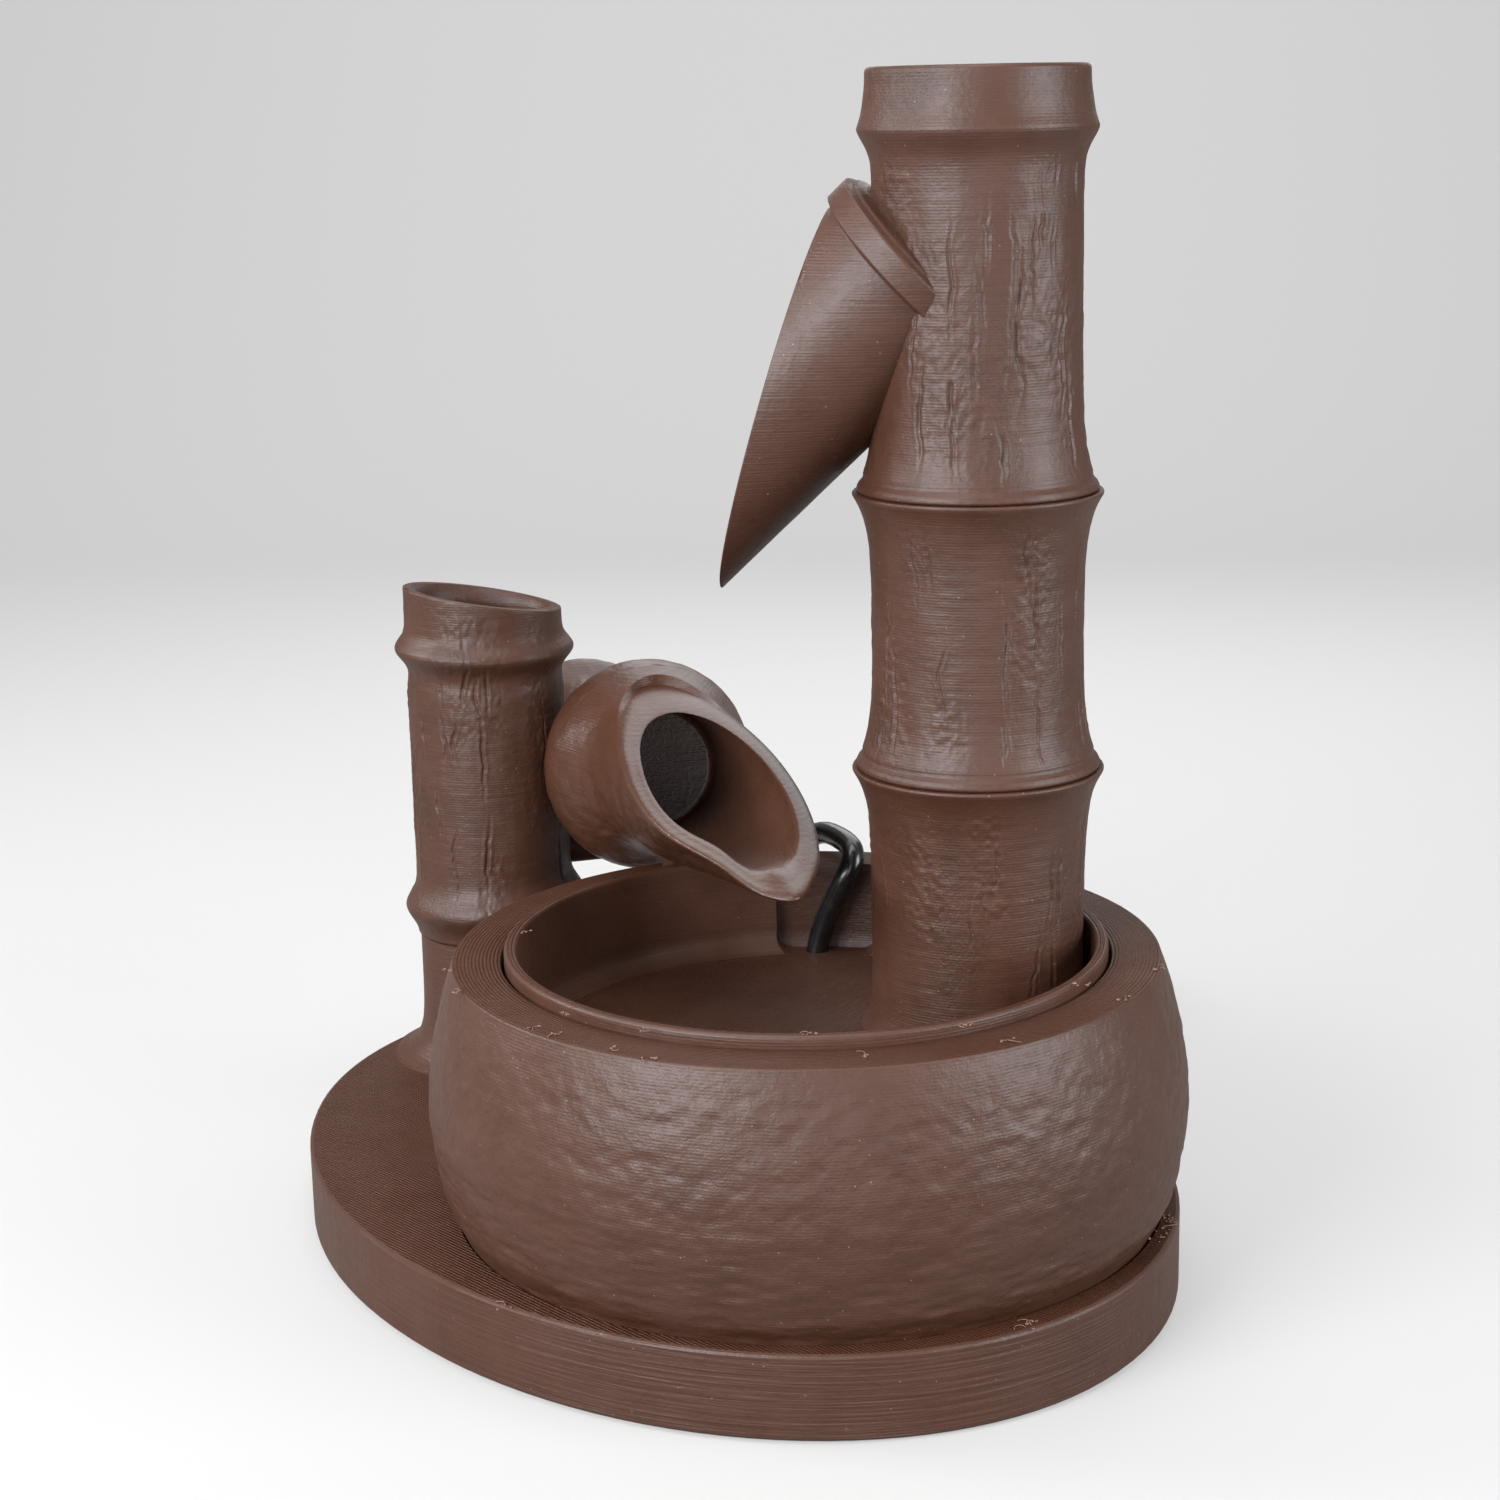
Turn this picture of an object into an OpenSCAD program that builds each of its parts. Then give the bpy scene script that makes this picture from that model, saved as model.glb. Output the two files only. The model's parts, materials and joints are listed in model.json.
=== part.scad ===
// Shishi odoshi: a desk-top bamboo water feature with a pump, a tall spout column and a tipping tube.
// Millimetres. Z is up, the origin is on the table under the bowl's axis, -Y faces the viewer.

/* [Base] */
// Long radius of the oval base plate
base_long_r = 87.2; // [84:0.1:95]
// Short radius of the oval base plate
base_short_r = 68; // [64:0.5:76]
// Turn of the oval's long axis
base_turn = -56.9; // [-70:0.1:-45]
// Thickness of the base plate
base_h = 13.6; // [9:0.1:20]
// Radius of the softened edges of the plate
base_edge = 0.6; // [0.3:0.1:1.5]
// Depth of the recess that the bowl stands in
recess_depth = 4; // [2:0.5:7]

/* [Bowl] */
// Radius of the bowl's flat rim
rim_r = 56.6; // [54:0.1:60]
// Largest radius of the bowl's wall
belly_r = 61.3; // [60:0.1:66]
// Radius of the bowl's foot
foot_r = 57; // [50:0.1:58]
// Height of the bowl's rim above the table
rim_z = 55.3; // [52:0.1:70]
// Radius of the bore that takes the tray
bowl_bore_r = 48.75; // [46:0.05:50]
// Radius of the water chamber under the tray
chamber_r = 52; // [48:0.5:54]
// Thickness of the bowl's floor
bowl_floor = 2.6; // [2:0.2:4]
// Inner radius of the ledge that carries the tray
ledge_r = 43; // [40:0.5:45]
// Thickness of the ledge at its free edge
ledge_h = 2.4; // [1.5:0.1:4]

/* [Tray] */
// Outer radius of the tray
tray_r = 48.25; // [45:0.05:48.3]
// Width of the tray's lip
tray_wall = 2; // [1.6:0.1:3]
// Height of the tray's lip above the bowl's rim
tray_proud = 1.9; // [0.8:0.1:4]
// Depth of the tray below the bowl's rim
tray_depth = 15.6; // [12:0.1:17]
// Thickness of the tray's floor
tray_floor = 2.4; // [1.6:0.1:3]
// Width of the notch that lets the cable out
notch_w = 18; // [10:0.5:24]
// Sideways place of the notch's middle
notch_x = 3.4; // [-5:0.1:8]
// Radius of the notch's lower corners
notch_round = 3; // [1:0.5:5]

/* [Column] */
// Sideways place of the column
column_x = 28; // [24:0.1:29]
// Place of the column towards the back
column_y = 7; // [0:0.5:10]
// Radius of the lower section's waist
low_waist = 17.1; // [16:0.1:18]
// Radius of the middle section's waist
mid_waist = 16.7; // [16:0.1:18]
// Radius of the top section's waist
top_waist = 16.2; // [15.6:0.1:17]
// How far the lips at the seams stand out
seam_lip = 3.4; // [2:0.1:4.5]
// Height over which a seam lip fades
seam_fade = 4.4; // [3:0.1:5]
// Height of the lower seam
low_seam_z = 83.4; // [75:0.1:95]
// Height of the upper seam
high_seam_z = 127.6; // [118:0.1:135]
// Height of the column's open top
column_top_z = 192; // [185:0.5:205]
// Distance of the node ring below the open top
top_node_drop = 9.2; // [6:0.1:14]
// How far the top node ring stands out
top_node_h = 2.2; // [1:0.1:3]
// Radius of the bore in the column's sections
column_bore_r = 13.6; // [12:0.1:14]
// Length of the spigots that join the sections
spigot_len = 6; // [4:0.5:10]
// Wall of the spigots
spigot_wall = 2; // [1.2:0.1:3]

/* [Spout] */
// Outer radius of the spout
spout_r = 15.4; // [13:0.1:16]
// Wall of the spout
spout_wall = 2.6; // [1.6:0.1:4]
// Angle of the spout below level
spout_drop = 43.5; // [35:0.5:50]
// Direction of the spout seen from above
spout_dir = 170; // [150:1:190]
// Distance of the spout's axis below the open top, at the column's axis
spout_axis_drop = 20.4; // [18:0.1:26]
// Distance along the spout to its slanted end
spout_len = 44.2; // [35:0.1:50]
// Angle of the spout's end from upright
spout_cut = 17; // [0:1:30]
// Distance along the spout to its collar
collar_at = 15.8; // [12:0.1:20]
// How far the collar stands out
collar_h = 0.9; // [0.6:0.1:3]

/* [Post] */
// Sideways place of the post
post_x = -58.8; // [-62:0.1:-56]
// Place of the post towards the back
post_y = 71; // [68:0.5:76]
// Radius of the post's shaft
post_r = 14.5; // [13:0.1:14.8]
// Radius of the foot that the post stands on
post_foot_r = 14.1; // [12.5:0.1:15]
// Height of the seam between the foot and the post
post_seam_z = 37.2; // [30:0.1:42]
// Height of the post's slanted top at its axis
post_top_z = 100.3; // [94:0.1:110]
// Sideways slope of the post's top
post_slope = 9.2; // [0:0.1:15]
// Slope of the post's top towards the viewer
post_pitch = 4; // [0:0.5:10]
// Distance of the upper node ring below the top
post_node_drop = 9.3; // [8:0.1:14]
// How far the post's node rings stand out
post_node_h = 1.8; // [1:0.1:3]
// Wall of the post
post_wall = 2.1; // [1.6:0.1:3]

/* [Tipping tube] */
// Turn of the tube from the viewer's direction
tube_turn = 18.5; // [10:0.5:25]
// Angle of the tube above level at rest
tube_lift = 7.8; // [4:0.1:14]
// Distance of the tube's axis from the post's axis
tube_gap = 26; // [25.9:0.1:30]
// Height of the pivot
pivot_z = 67.8; // [66:0.1:72]
// Radius of the tube's shaft in front of the pivot
tube_r = 14.1; // [13:0.1:15]
// Wall of the tube
tube_wall = 3.2; // [2:0.1:3.6]
// Radius of the tube's waist at the pivot
tube_waist_r = 10.9; // [10:0.1:11.2]
// Distance of the front node ring from the pivot
tube_node_at = 16.6; // [15:0.1:20]
// Radius of the front node ring
tube_node_r = 19.2; // [17:0.1:19.6]
// Distance of the rear node ring behind the pivot
tail_node_at = 33; // [28:0.5:45]
// Radius of the rear node ring
tail_node_r = 16.6; // [15:0.1:18]
// Distance from the pivot to the middle of the slanted mouth
mouth_at = 63.5; // [50:0.5:70]
// Angle between the mouth's plane and the tube's axis
mouth_angle = 23; // [18:0.5:35]
// Distance from the pivot to the tube's inner end wall
end_wall_at = 22; // [20:0.5:30]
// Radius of the steel weight in the tail
weight_r = 8; // [6:0.1:8.6]
// Length of the steel weight
weight_len = 10; // [10:0.5:20]

/* [Axle] */
// Radius of the axle pin
axle_r = 1.5; // [1:0.1:2]
// Running clearance round the axle and the rotor's shaft
running_gap = 0.08; // [0.05:0.01:0.1]
// Radius of the axle's head and of its cap
axle_head_r = 3.2; // [2.6:0.1:4]
// Thickness of the axle's head
axle_head_h = 1.4; // [1:0.1:2]
// Length of the cap pushed on the axle's end
axle_cap_h = 3.2; // [2:0.1:4]

/* [Pump] */
// Radius of the pump's motor housing
pump_r = 9.6; // [8:0.1:10]
// Length of the motor housing
pump_len = 28; // [22:0.5:32]
// Length of the impeller chamber
volute_len = 10; // [8:0.5:12]
// Radius of the impeller chamber
volute_r = 10; // [9.7:0.1:10.4]
// Wall of the pump's housing
pump_wall = 1.6; // [1:0.1:2]
// Radius of the outlet nozzle
nozzle_r = 3.9; // [3:0.1:4.2]
// Bore of the outlet nozzle
nozzle_bore = 2.7; // [2:0.1:3]
// Height of the suction feet
suction_h = 2.6; // [2:0.1:4]
// Radius of the suction feet
suction_r = 3.6; // [2.5:0.1:4]
// Number of blades on the rotor
blades = 6; // [3:1:8]
// Wall of the hose
hose_wall = 1.5; // [1:0.1:2]

/* [Cable] */
// Diameter of the cable
cord_d = 4; // [3.6:0.1:4.4]
// Mean radius of the coil, at the middle of its turns
coil_mid_r = 23; // [22:0.5:24]
// Turns in each of the coil's two layers
coil_turns = 3.5; // [2.5:1:3.5]
// Space between neighbouring turns
coil_gap = 0.6; // [0.5:0.1:1.2]
// Width of the plug's metal shell
plug_w = 12; // [12:0.5:12.5]
// Thickness of the plug's metal shell
plug_t = 4.5; // [4.5:0.1:5]

/* [Hidden] */
$fn = 96;

brown = "saddlebrown";
// Overrun of every cut past the face that it opens
over = 1;
// Clearance between pieces that sit in one another
seat_gap = 0.25;
// Clearance between faces of pieces that lie side by side
side_gap = 0.3;
// Steps along a curved profile
steps = 24;
top_steps = 30;

recess_z = base_h - recess_depth;
recess_r = foot_r + 2 * seat_gap;
chamber_z = recess_z + bowl_floor;
ledge_z = rim_z - tray_depth - tray_floor;
tray_top_z = rim_z + tray_proud;
tray_floor_z = rim_z - tray_depth;
tray_fillet = 2 * tray_wall;

base_shift_shares = [-0.16, 0.244];
base_x = base_shift_shares[0] * base_long_r;
base_y = base_shift_shares[1] * base_long_r;

tube_yaw = tube_turn - 90;
pin_x = cos(tube_turn);
pin_y = sin(tube_turn);
pivot_x = post_x + tube_gap * pin_x;
pivot_y = post_y + tube_gap * pin_y;
// Height of the bowl's widest place as a share of its height, and shares of its curve below and above it
belly_share = 0.47;
belly_z = recess_z + (rim_z - recess_z) * belly_share;
lower_shares = [[0.18, 0], [0.26, 0.2], [0.36, 0.49], [0.53, 0.7], [0.76, 0.89], [1, 1]];
upper_shares = [[0.24, 0.94], [0.49, 0.745], [0.74, 0.425], [0.9, 0.17]];

// Tipping tube
tail_lip = 4.5;
tail_end = tail_node_at + tail_lip;
tube_swing = 11;
rest_pad_r = 2.4;
rest_pad_at = 34;
mouth_bore_r = tube_r - tube_wall;
plug_disc_h = 2.4;
plug_disc_r = weight_r + 2;
tail_bore_r = weight_r + seat_gap;
tail_bore_end = tail_end - plug_disc_h - weight_len;
fade_tail = 5;
fade_front = 5.4;
mouth_flare = 0.3;
flare_from = 45;
flare_to = 85;
fade_back = 3.6;
boss_r = 4.5;
boss_h = 1.1;
washer_h = 1.2;
post_face = tube_gap - post_r - boss_h;
tube_flat = post_face - washer_h - side_gap;
stop_w = 6;
stop_h = 6;
stop_at = 13;

// Post
spigot_h = 8;
post_solid = 10;
node_fade = 2.6;
low_node_rise = 6.2;
foot_flare = 6;
foot_fade = 2.4;

// Column
column_foot_flare = 2;
top_node_fade = 3.4;
web_w = 6;
partition_h = 2.4;
collar_w = 2;
collar_groove = 1.3;
spout_z = column_top_z - spout_axis_drop;
spout_low_z = spout_z - column_bore_r * tan(spout_drop) - (spout_r - spout_wall) / cos(spout_drop);
far = 3 * spout_len;

// Pump, with x along its axis from the middle of its outlet
shaft_r = 1;
sole_h = 0.6;
sole_w = 15;
pump_z = chamber_z + suction_h + sole_h + volute_r;
front_x = volute_len / 2;
back_x = -front_x - pump_len;
well_r = 5.2;
well_len = 20;
well_x = -front_x + pump_wall - well_len;
rotor_r = well_r - 0.6 * hose_wall / 1.5;
impeller_r = volute_r - pump_wall - 1.2 * hose_wall / 1.5;
cup_h = 5;
intake_r = 1.5;
gland_r = 3.2;
gland_in = 4;
gland_out = 6;
boot_r = 4.2;
nozzle_top = ledge_z + 7 * hose_wall / 1.5;
hose_r = nozzle_r + seat_gap + hose_wall;

// Cable: route of its middle line from the pump to the coil
cord_route = [[-3, 7, 25.4], [-8, 7, 25.4], [-14, 7, 25.2], [-20.5, 8.6, 24.6], [-25.4, 13.5, 23.4],
              [-26.6, 20.5, 21.8], [-23.4, 27.5, 20.6], [-17.5, 33.5, 20], [-10.5, 38, 20.2],
              [-4.4, 41.6, 21.4], [-0.6, 44.2, 25], [0.8, 45.6, 31], [1.2, 46, 37], [2.4, 46.2, 43],
              [4.6, 45.8, 48.6], [7, 45.2, 53.6], [8.2, 46.3, 56.8], [7.4, 49.8, 58.3], [3.6, 57.6, 58.3],
              [0.2, 62.4, 56], [-2, 65.6, 52.2], [-3, 67, 45.6], [-3.4, 67.8, 38], [-3.4, 69, 30],
              [-2.8, 72.2, 23], [-1.8, 78, 18], [-0.6, 85.6, 16.2], [0.8, 93.4, 16.2], [2.2, 100, 14.6],
              [3.4, 106, 11], [4.4, 112.4, 8.5], [4.95, 119, 7.6], [5, 124, 7.5]];
coil_x = 36;
coil_y = 126;
tie_t = 0.6;
tie_w = 5;
tie_gap = 0.5;
coil_pitch = cord_d + coil_gap;
coil_low_z = cord_d / 2 + tie_t + side_gap;
coil_high_z = coil_low_z + coil_pitch;
coil_out_r = coil_mid_r + coil_turns / 2 * coil_pitch;
coil_in_r = coil_mid_r - coil_turns / 2 * coil_pitch;
coil_dip = 1.2 * coil_gap / 0.6;
back_turns = coil_turns - 0.5;
coil_lead = [[7.3, 132, 2.9], [7.9, 140, 2.9], [9.5, 148, 3.1], [12, 156, 3.5], [14.8, 163.4, 3.9],
             [17, 168.9, 4]];
plug_turn = 68;
grip_len = 21;
grip_w = 15;
grip_t = 8;
grip_round = 2;
relief_len = 9;
relief_r = 3.2;
shell_len = 12;
shell_wall = 0.4;
shell_in = 3;
tongue_t = 1.8;
tongue_len = 9;

function along(a, b, s) = a + (b - a) * s;
function unit(v) = v / norm(v);
// A rounded bulge, 1 at no distance
function bulge(d, width) = exp(-pow(d / width, 2));
// A lip that fades from 1
function lip(d, width) = exp(-d / width);
function oval(long_r, short_r, n) =
  [for (i = [0:n - 1]) [long_r * cos(360 * i / n), short_r * sin(360 * i / n)]];

// A solid through rings of equal count
module loft(rings) {
  n = len(rings[0]);
  m = len(rings);
  low = [[for (i = [0:n - 1]) i]];
  high = [[for (i = [n - 1:-1:0]) (m - 1) * n + i]];
  walls = [for (k = [0:m - 2]) for (i = [0:n - 1]) let(j = (i + 1) % n)
    each [[k * n + i, (k + 1) * n + i, (k + 1) * n + j], [k * n + i, (k + 1) * n + j, k * n + j]]];
  polyhedron(points = [for (r = rings) each r], faces = concat(low, walls, high));
}

// Middle line smoothed between the route's points
function smooth_at(p, i, s) =
  let(a = p[max(i - 1, 0)], b = p[i], c = p[i + 1], d = p[min(i + 2, len(p) - 1)])
  0.5 * (2 * b + (c - a) * s + (2 * a - 5 * b + 4 * c - d) * s * s
    + (3 * b - a - 3 * c + d) * s * s * s);
function smooth(p, n) =
  concat([for (i = [0:len(p) - 2]) for (j = [0:n - 1]) smooth_at(p, i, j / n)], [p[len(p) - 1]]);
function heading(p, i) = unit(p[min(i + 1, len(p) - 1)] - p[max(i - 1, 0)]);
function turned(a, t) = unit(a - (a * t) * t);
function cord_rings(p, r, sides) =
  [for (i = 0, a = turned(cross(heading(p, 0), [0, 0, 1]), heading(p, 0)); i < len(p);
        i = i + 1, a = turned(a, heading(p, min(i, len(p) - 1))))
    let(b = cross(heading(p, i), a))
    [for (k = [0:sides - 1]) p[i] + r * (cos(360 * k / sides) * a + sin(360 * k / sides) * b)]];

module base_plate() {
  turned_oval = [for (s = [[0, base_edge], [base_edge, 0], [base_h - base_edge, 0],
                           [base_h - base_edge * 0.3, base_edge * 0.3], [base_h, base_edge]])
    [for (p = oval(base_long_r - s[1], base_short_r - s[1], 120)) [p[0], p[1], s[0]]]];
  color(brown) difference() {
    union() {
      translate([base_x, base_y, 0]) rotate([0, 0, base_turn]) loft(turned_oval);
      translate([post_x, post_y, 0]) post_foot();
    }
    translate([0, 0, recess_z]) cylinder(h = recess_depth + over, r = recess_r);
  }
}

// Foot of the post, one with the plate, with the spigot that carries the post
module post_foot() {
  rotate_extrude() polygon(concat(
    [[0, recess_z], [post_foot_r + foot_flare, recess_z], [post_foot_r + foot_flare, base_h]],
    [for (i = [1:steps]) let(z = (post_seam_z - base_h) * pow(i / steps, 2))
      [post_foot_r + foot_flare * lip(z, foot_fade), base_h + z]],
    [[post_r - post_wall - seat_gap, post_seam_z],
     [post_r - post_wall - seat_gap, post_seam_z + spigot_h],
     [0, post_seam_z + spigot_h]]));
}

function post_radius(z) = post_r
  + post_node_h * bulge(z - post_seam_z - low_node_rise, node_fade * 1.3)
  + post_node_h * bulge(z - post_top_z + post_node_drop, node_fade);

module post() {
  tall = post_top_z + post_node_drop;
  color(brown) difference() {
    union() {
      translate([post_x, post_y, 0]) rotate_extrude() polygon(concat(
        [[0, post_seam_z], [post_radius(post_seam_z) - base_edge, post_seam_z]],
        [for (i = [0:2 * steps]) let(z = along(post_seam_z + base_edge, tall, i / 2 / steps))
          [post_radius(z), z]],
        [[0, tall]]));
      tube_frame(0) translate([0, -tube_gap, 0]) rotate([-90, 0, 0]) cylinder(h = post_r + boss_h, r = boss_r);
      tube_frame(tube_lift + tube_swing) translate([-stop_at, -tube_gap + post_r / 3, 0])
        translate([0, 0, -tube_profile(-stop_at) - side_gap - stop_h])
          cube([stop_w, tube_gap - post_r / 3 + stop_w / 2, stop_h]);
    }
    translate([post_x, post_y, post_seam_z - over])
      cylinder(h = pivot_z - post_solid - post_seam_z + over, r = post_r - post_wall);
    translate([post_x, post_y, pivot_z + post_solid])
      cylinder(h = tall, r = post_r - post_wall);
    translate([post_x, post_y, post_top_z]) rotate([-post_pitch, post_slope, 0])
      translate([-tall, -tall, 0]) cube([2 * tall, 2 * tall, tall]);
    tube_frame(0) translate([0, -tube_gap, 0]) rotate([-90, 0, 0]) cylinder(h = tube_gap, r = axle_r);
  }
}

// Frame at the pivot: x along the tube to its mouth, y along the axle away from the post
module tube_frame(lift) {
  translate([pivot_x, pivot_y, pivot_z]) rotate([0, 0, tube_yaw]) rotate([0, -lift, 0]) children();
}

module axle_pin() {
  color("silver") tube_frame(0) translate([0, -tube_gap, 0]) rotate([-90, 0, 0])
    cylinder(h = tube_gap + tube_flat + side_gap + axle_cap_h * 0.7, r = axle_r);
}

module axle_washer() {
  color("white") tube_frame(0) translate([0, -post_face, 0]) rotate([-90, 0, 0]) difference() {
    cylinder(h = washer_h, r = axle_head_r);
    translate([0, 0, -over]) cylinder(h = washer_h + 2 * over, r = axle_r);
  }
}

module axle_cap() {
  color("dimgray") tube_frame(0) translate([0, tube_flat + side_gap, 0]) rotate([-90, 0, 0]) difference() {
    cylinder(h = axle_cap_h, r = axle_head_r);
    translate([0, 0, -over]) cylinder(h = axle_cap_h * 0.7 + over, r = axle_r);
  }
}

// Outside radius of the tipping tube at a distance in front of its pivot
function tube_profile(x) = x < 0
  ? tube_waist_r + 1.8 * pow(x / tail_node_at, 2)
    + (tail_node_r - tube_waist_r - 1.8) * bulge(x + tail_node_at, fade_tail)
  : x < tube_node_at
    ? tube_waist_r + (tube_node_r - tube_waist_r) * bulge(x - tube_node_at, fade_back * 1.6)
    : tube_r + (tube_node_r - tube_r) * bulge(x - tube_node_at, fade_front * 1.5)
      + mouth_flare * min(1, max(0, (x - flare_from) / (flare_to - flare_from)));

module tipping_tube() {
  slip = tube_r / tan(mouth_angle);
  xs = concat([for (i = [0:steps]) along(-tail_end, tube_node_at, i / steps)],
              [for (i = [1:steps]) along(tube_node_at, mouth_at + slip + tube_r, i / steps)]);
  color(brown) difference() {
    union() {
      tube_frame(tube_lift) rotate([0, 90, 0]) rotate_extrude()
        polygon(concat([[0, xs[0]]], [for (x = xs) [tube_profile(x), x]], [[0, xs[len(xs) - 1]]]));
      translate([pivot_x + rest_pad_at * cos(tube_yaw), pivot_y + rest_pad_at * sin(tube_yaw), rim_z])
        cylinder(h = tube_r - mouth_bore_r + tray_proud, r = rest_pad_r);
    }
    tube_frame(tube_lift) {
      translate([end_wall_at, 0, 0]) rotate([0, 90, 0]) cylinder(h = far, r = mouth_bore_r);
      translate([mouth_at, 0, 0]) rotate([0, mouth_angle, 0])
        translate([-far, -far, 0]) cube([2 * far, 2 * far, far]);
      translate([-tail_end - over, 0, 0]) rotate([0, 90, 0])
        cylinder(h = plug_disc_h + over, r = plug_disc_r + seat_gap);
      translate([-tail_end, 0, 0]) rotate([0, 90, 0])
        cylinder(h = plug_disc_h + weight_len, r = tail_bore_r);
      rotate([90, 0, 0]) translate([0, 0, -far]) cylinder(h = 2 * far, r = axle_r + running_gap);
      translate([0, tube_flat, 0]) rotate([-90, 0, 0]) cylinder(h = tube_waist_r, r = boss_r + 4 * side_gap);
      translate([0, -tube_flat, 0]) rotate([90, 0, 0]) cylinder(h = tube_waist_r, r = boss_r + 4 * side_gap);
    }
  }
}

module tail_weight() {
  color("gray") tube_frame(tube_lift) translate([-tail_bore_end - weight_len, 0, 0]) rotate([0, 90, 0])
    cylinder(h = weight_len, r = weight_r);
}

module tail_plug() {
  color(brown) tube_frame(tube_lift) translate([-tail_end, 0, 0]) rotate([0, 90, 0])
    cylinder(h = plug_disc_h, r = plug_disc_r);
}

module bowl() {
  upper_z = rim_z - belly_z;
  cone_h = chamber_r - ledge_r;
  color(brown) difference() {
    rotate_extrude() polygon(concat(
      [[0, recess_z], [foot_r, recess_z]],
      [for (s = lower_shares) [along(foot_r, belly_r, s[1]), along(recess_z, belly_z, s[0])]],
      [for (s = upper_shares) [along(rim_r, belly_r, s[1]), belly_z + upper_z * s[0]]],
      [[rim_r, rim_z - base_edge], [rim_r - base_edge, rim_z], [bowl_bore_r, rim_z],
       [bowl_bore_r, ledge_z], [ledge_r, ledge_z], [ledge_r, ledge_z - ledge_h],
       [chamber_r, ledge_z - ledge_h - cone_h], [chamber_r, chamber_z], [0, chamber_z]]));
    translate([notch_x - slot_w / 2, ledge_r - tray_wall, ledge_z - ledge_h - cone_h])
      cube([slot_w, bowl_bore_r - ledge_r + tray_wall, ledge_h + cone_h + over]);
  }
}

// Width of the slot that lets water and the cable past the ledge and the tray's floor
slot_w = notch_w - 2 * notch_round;

module tray() {
  edge = base_edge * 0.8;
  inner = tray_r - tray_wall;
  color(brown) difference() {
    union() {
      rotate_extrude() polygon(concat(
        [[0, ledge_z], [tray_r - edge, ledge_z], [tray_r, ledge_z + edge], [tray_r, tray_top_z - edge],
         [tray_r - edge, tray_top_z], [inner + edge, tray_top_z], [inner, tray_top_z - edge]],
        [for (a = [0:15:90]) [inner - tray_fillet + tray_fillet * cos(a),
                              tray_floor_z + tray_fillet - tray_fillet * sin(a)]],
        [[0, tray_floor_z]]));
      column_place() rotate_extrude() polygon(concat(
        [[0, ledge_z + edge], [low_radius(tray_floor_z), ledge_z + edge]],
        [for (i = [0:2 * steps]) let(z = along(tray_floor_z, low_seam_z, i / 2 / steps))
          [low_radius(z) - (i == 2 * steps ? edge : 0), z]],
        [[0, low_seam_z]]));
      rotate([0, 0, atan2(column_y, column_x)]) translate([norm([column_x, column_y]), -web_w / 2, ledge_z + edge])
        cube([inner + edge - norm([column_x, column_y]), web_w, tray_top_z - ledge_z - 2 * edge]);
    }
    column_place() translate([0, 0, ledge_z - over])
      cylinder(h = low_seam_z - ledge_z + 2 * over, r = column_bore_r);
    translate([notch_x, inner - tray_fillet, tray_floor_z + notch_round]) rotate([-90, 0, 0]) {
      for (side = [-1, 1]) translate([side * slot_w / 2, 0, 0])
        cylinder(h = tray_fillet + tray_wall + over, r = notch_round);
      translate([-notch_w / 2, -rim_z, 0]) cube([notch_w, rim_z, tray_fillet + tray_wall + over]);
      translate([-slot_w / 2, -rim_z, 0]) cube([slot_w, rim_z + notch_round, tray_fillet + tray_wall + over]);
    }
    translate([notch_x - slot_w / 2, ledge_r + edge, ledge_z - over])
      cube([slot_w, tray_r - ledge_r, tray_floor + 2 * over]);
  }
}

function low_radius(z) = low_waist + seam_lip * lip(low_seam_z - z, seam_fade)
  + column_foot_flare * lip(z - tray_floor_z, seam_fade / 2);

module column_place() {
  translate([column_x, column_y, 0]) children();
}

module spigot(seam) {
  translate([0, 0, seam - spigot_len]) cylinder(h = spigot_len + over, r = column_bore_r - seat_gap);
}

module column_middle() {
  color(brown) column_place() difference() {
    union() {
      rotate_extrude() polygon(concat([[0, low_seam_z]],
        [for (i = [0:2 * steps]) let(z = along(low_seam_z, high_seam_z, i / 2 / steps))
          [mid_waist - (i % (2 * steps) == 0 ? base_edge : 0)
            + seam_lip * (lip(z - low_seam_z, seam_fade) + lip(high_seam_z - z, seam_fade)), z]],
        [[0, high_seam_z]]));
      spigot(low_seam_z);
    }
    translate([0, 0, low_seam_z - spigot_len - over])
      cylinder(h = far, r = column_bore_r - seat_gap - spigot_wall);
    translate([0, 0, high_seam_z - spigot_len - side_gap])
      cylinder(h = far, r = column_bore_r);
  }
}

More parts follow.
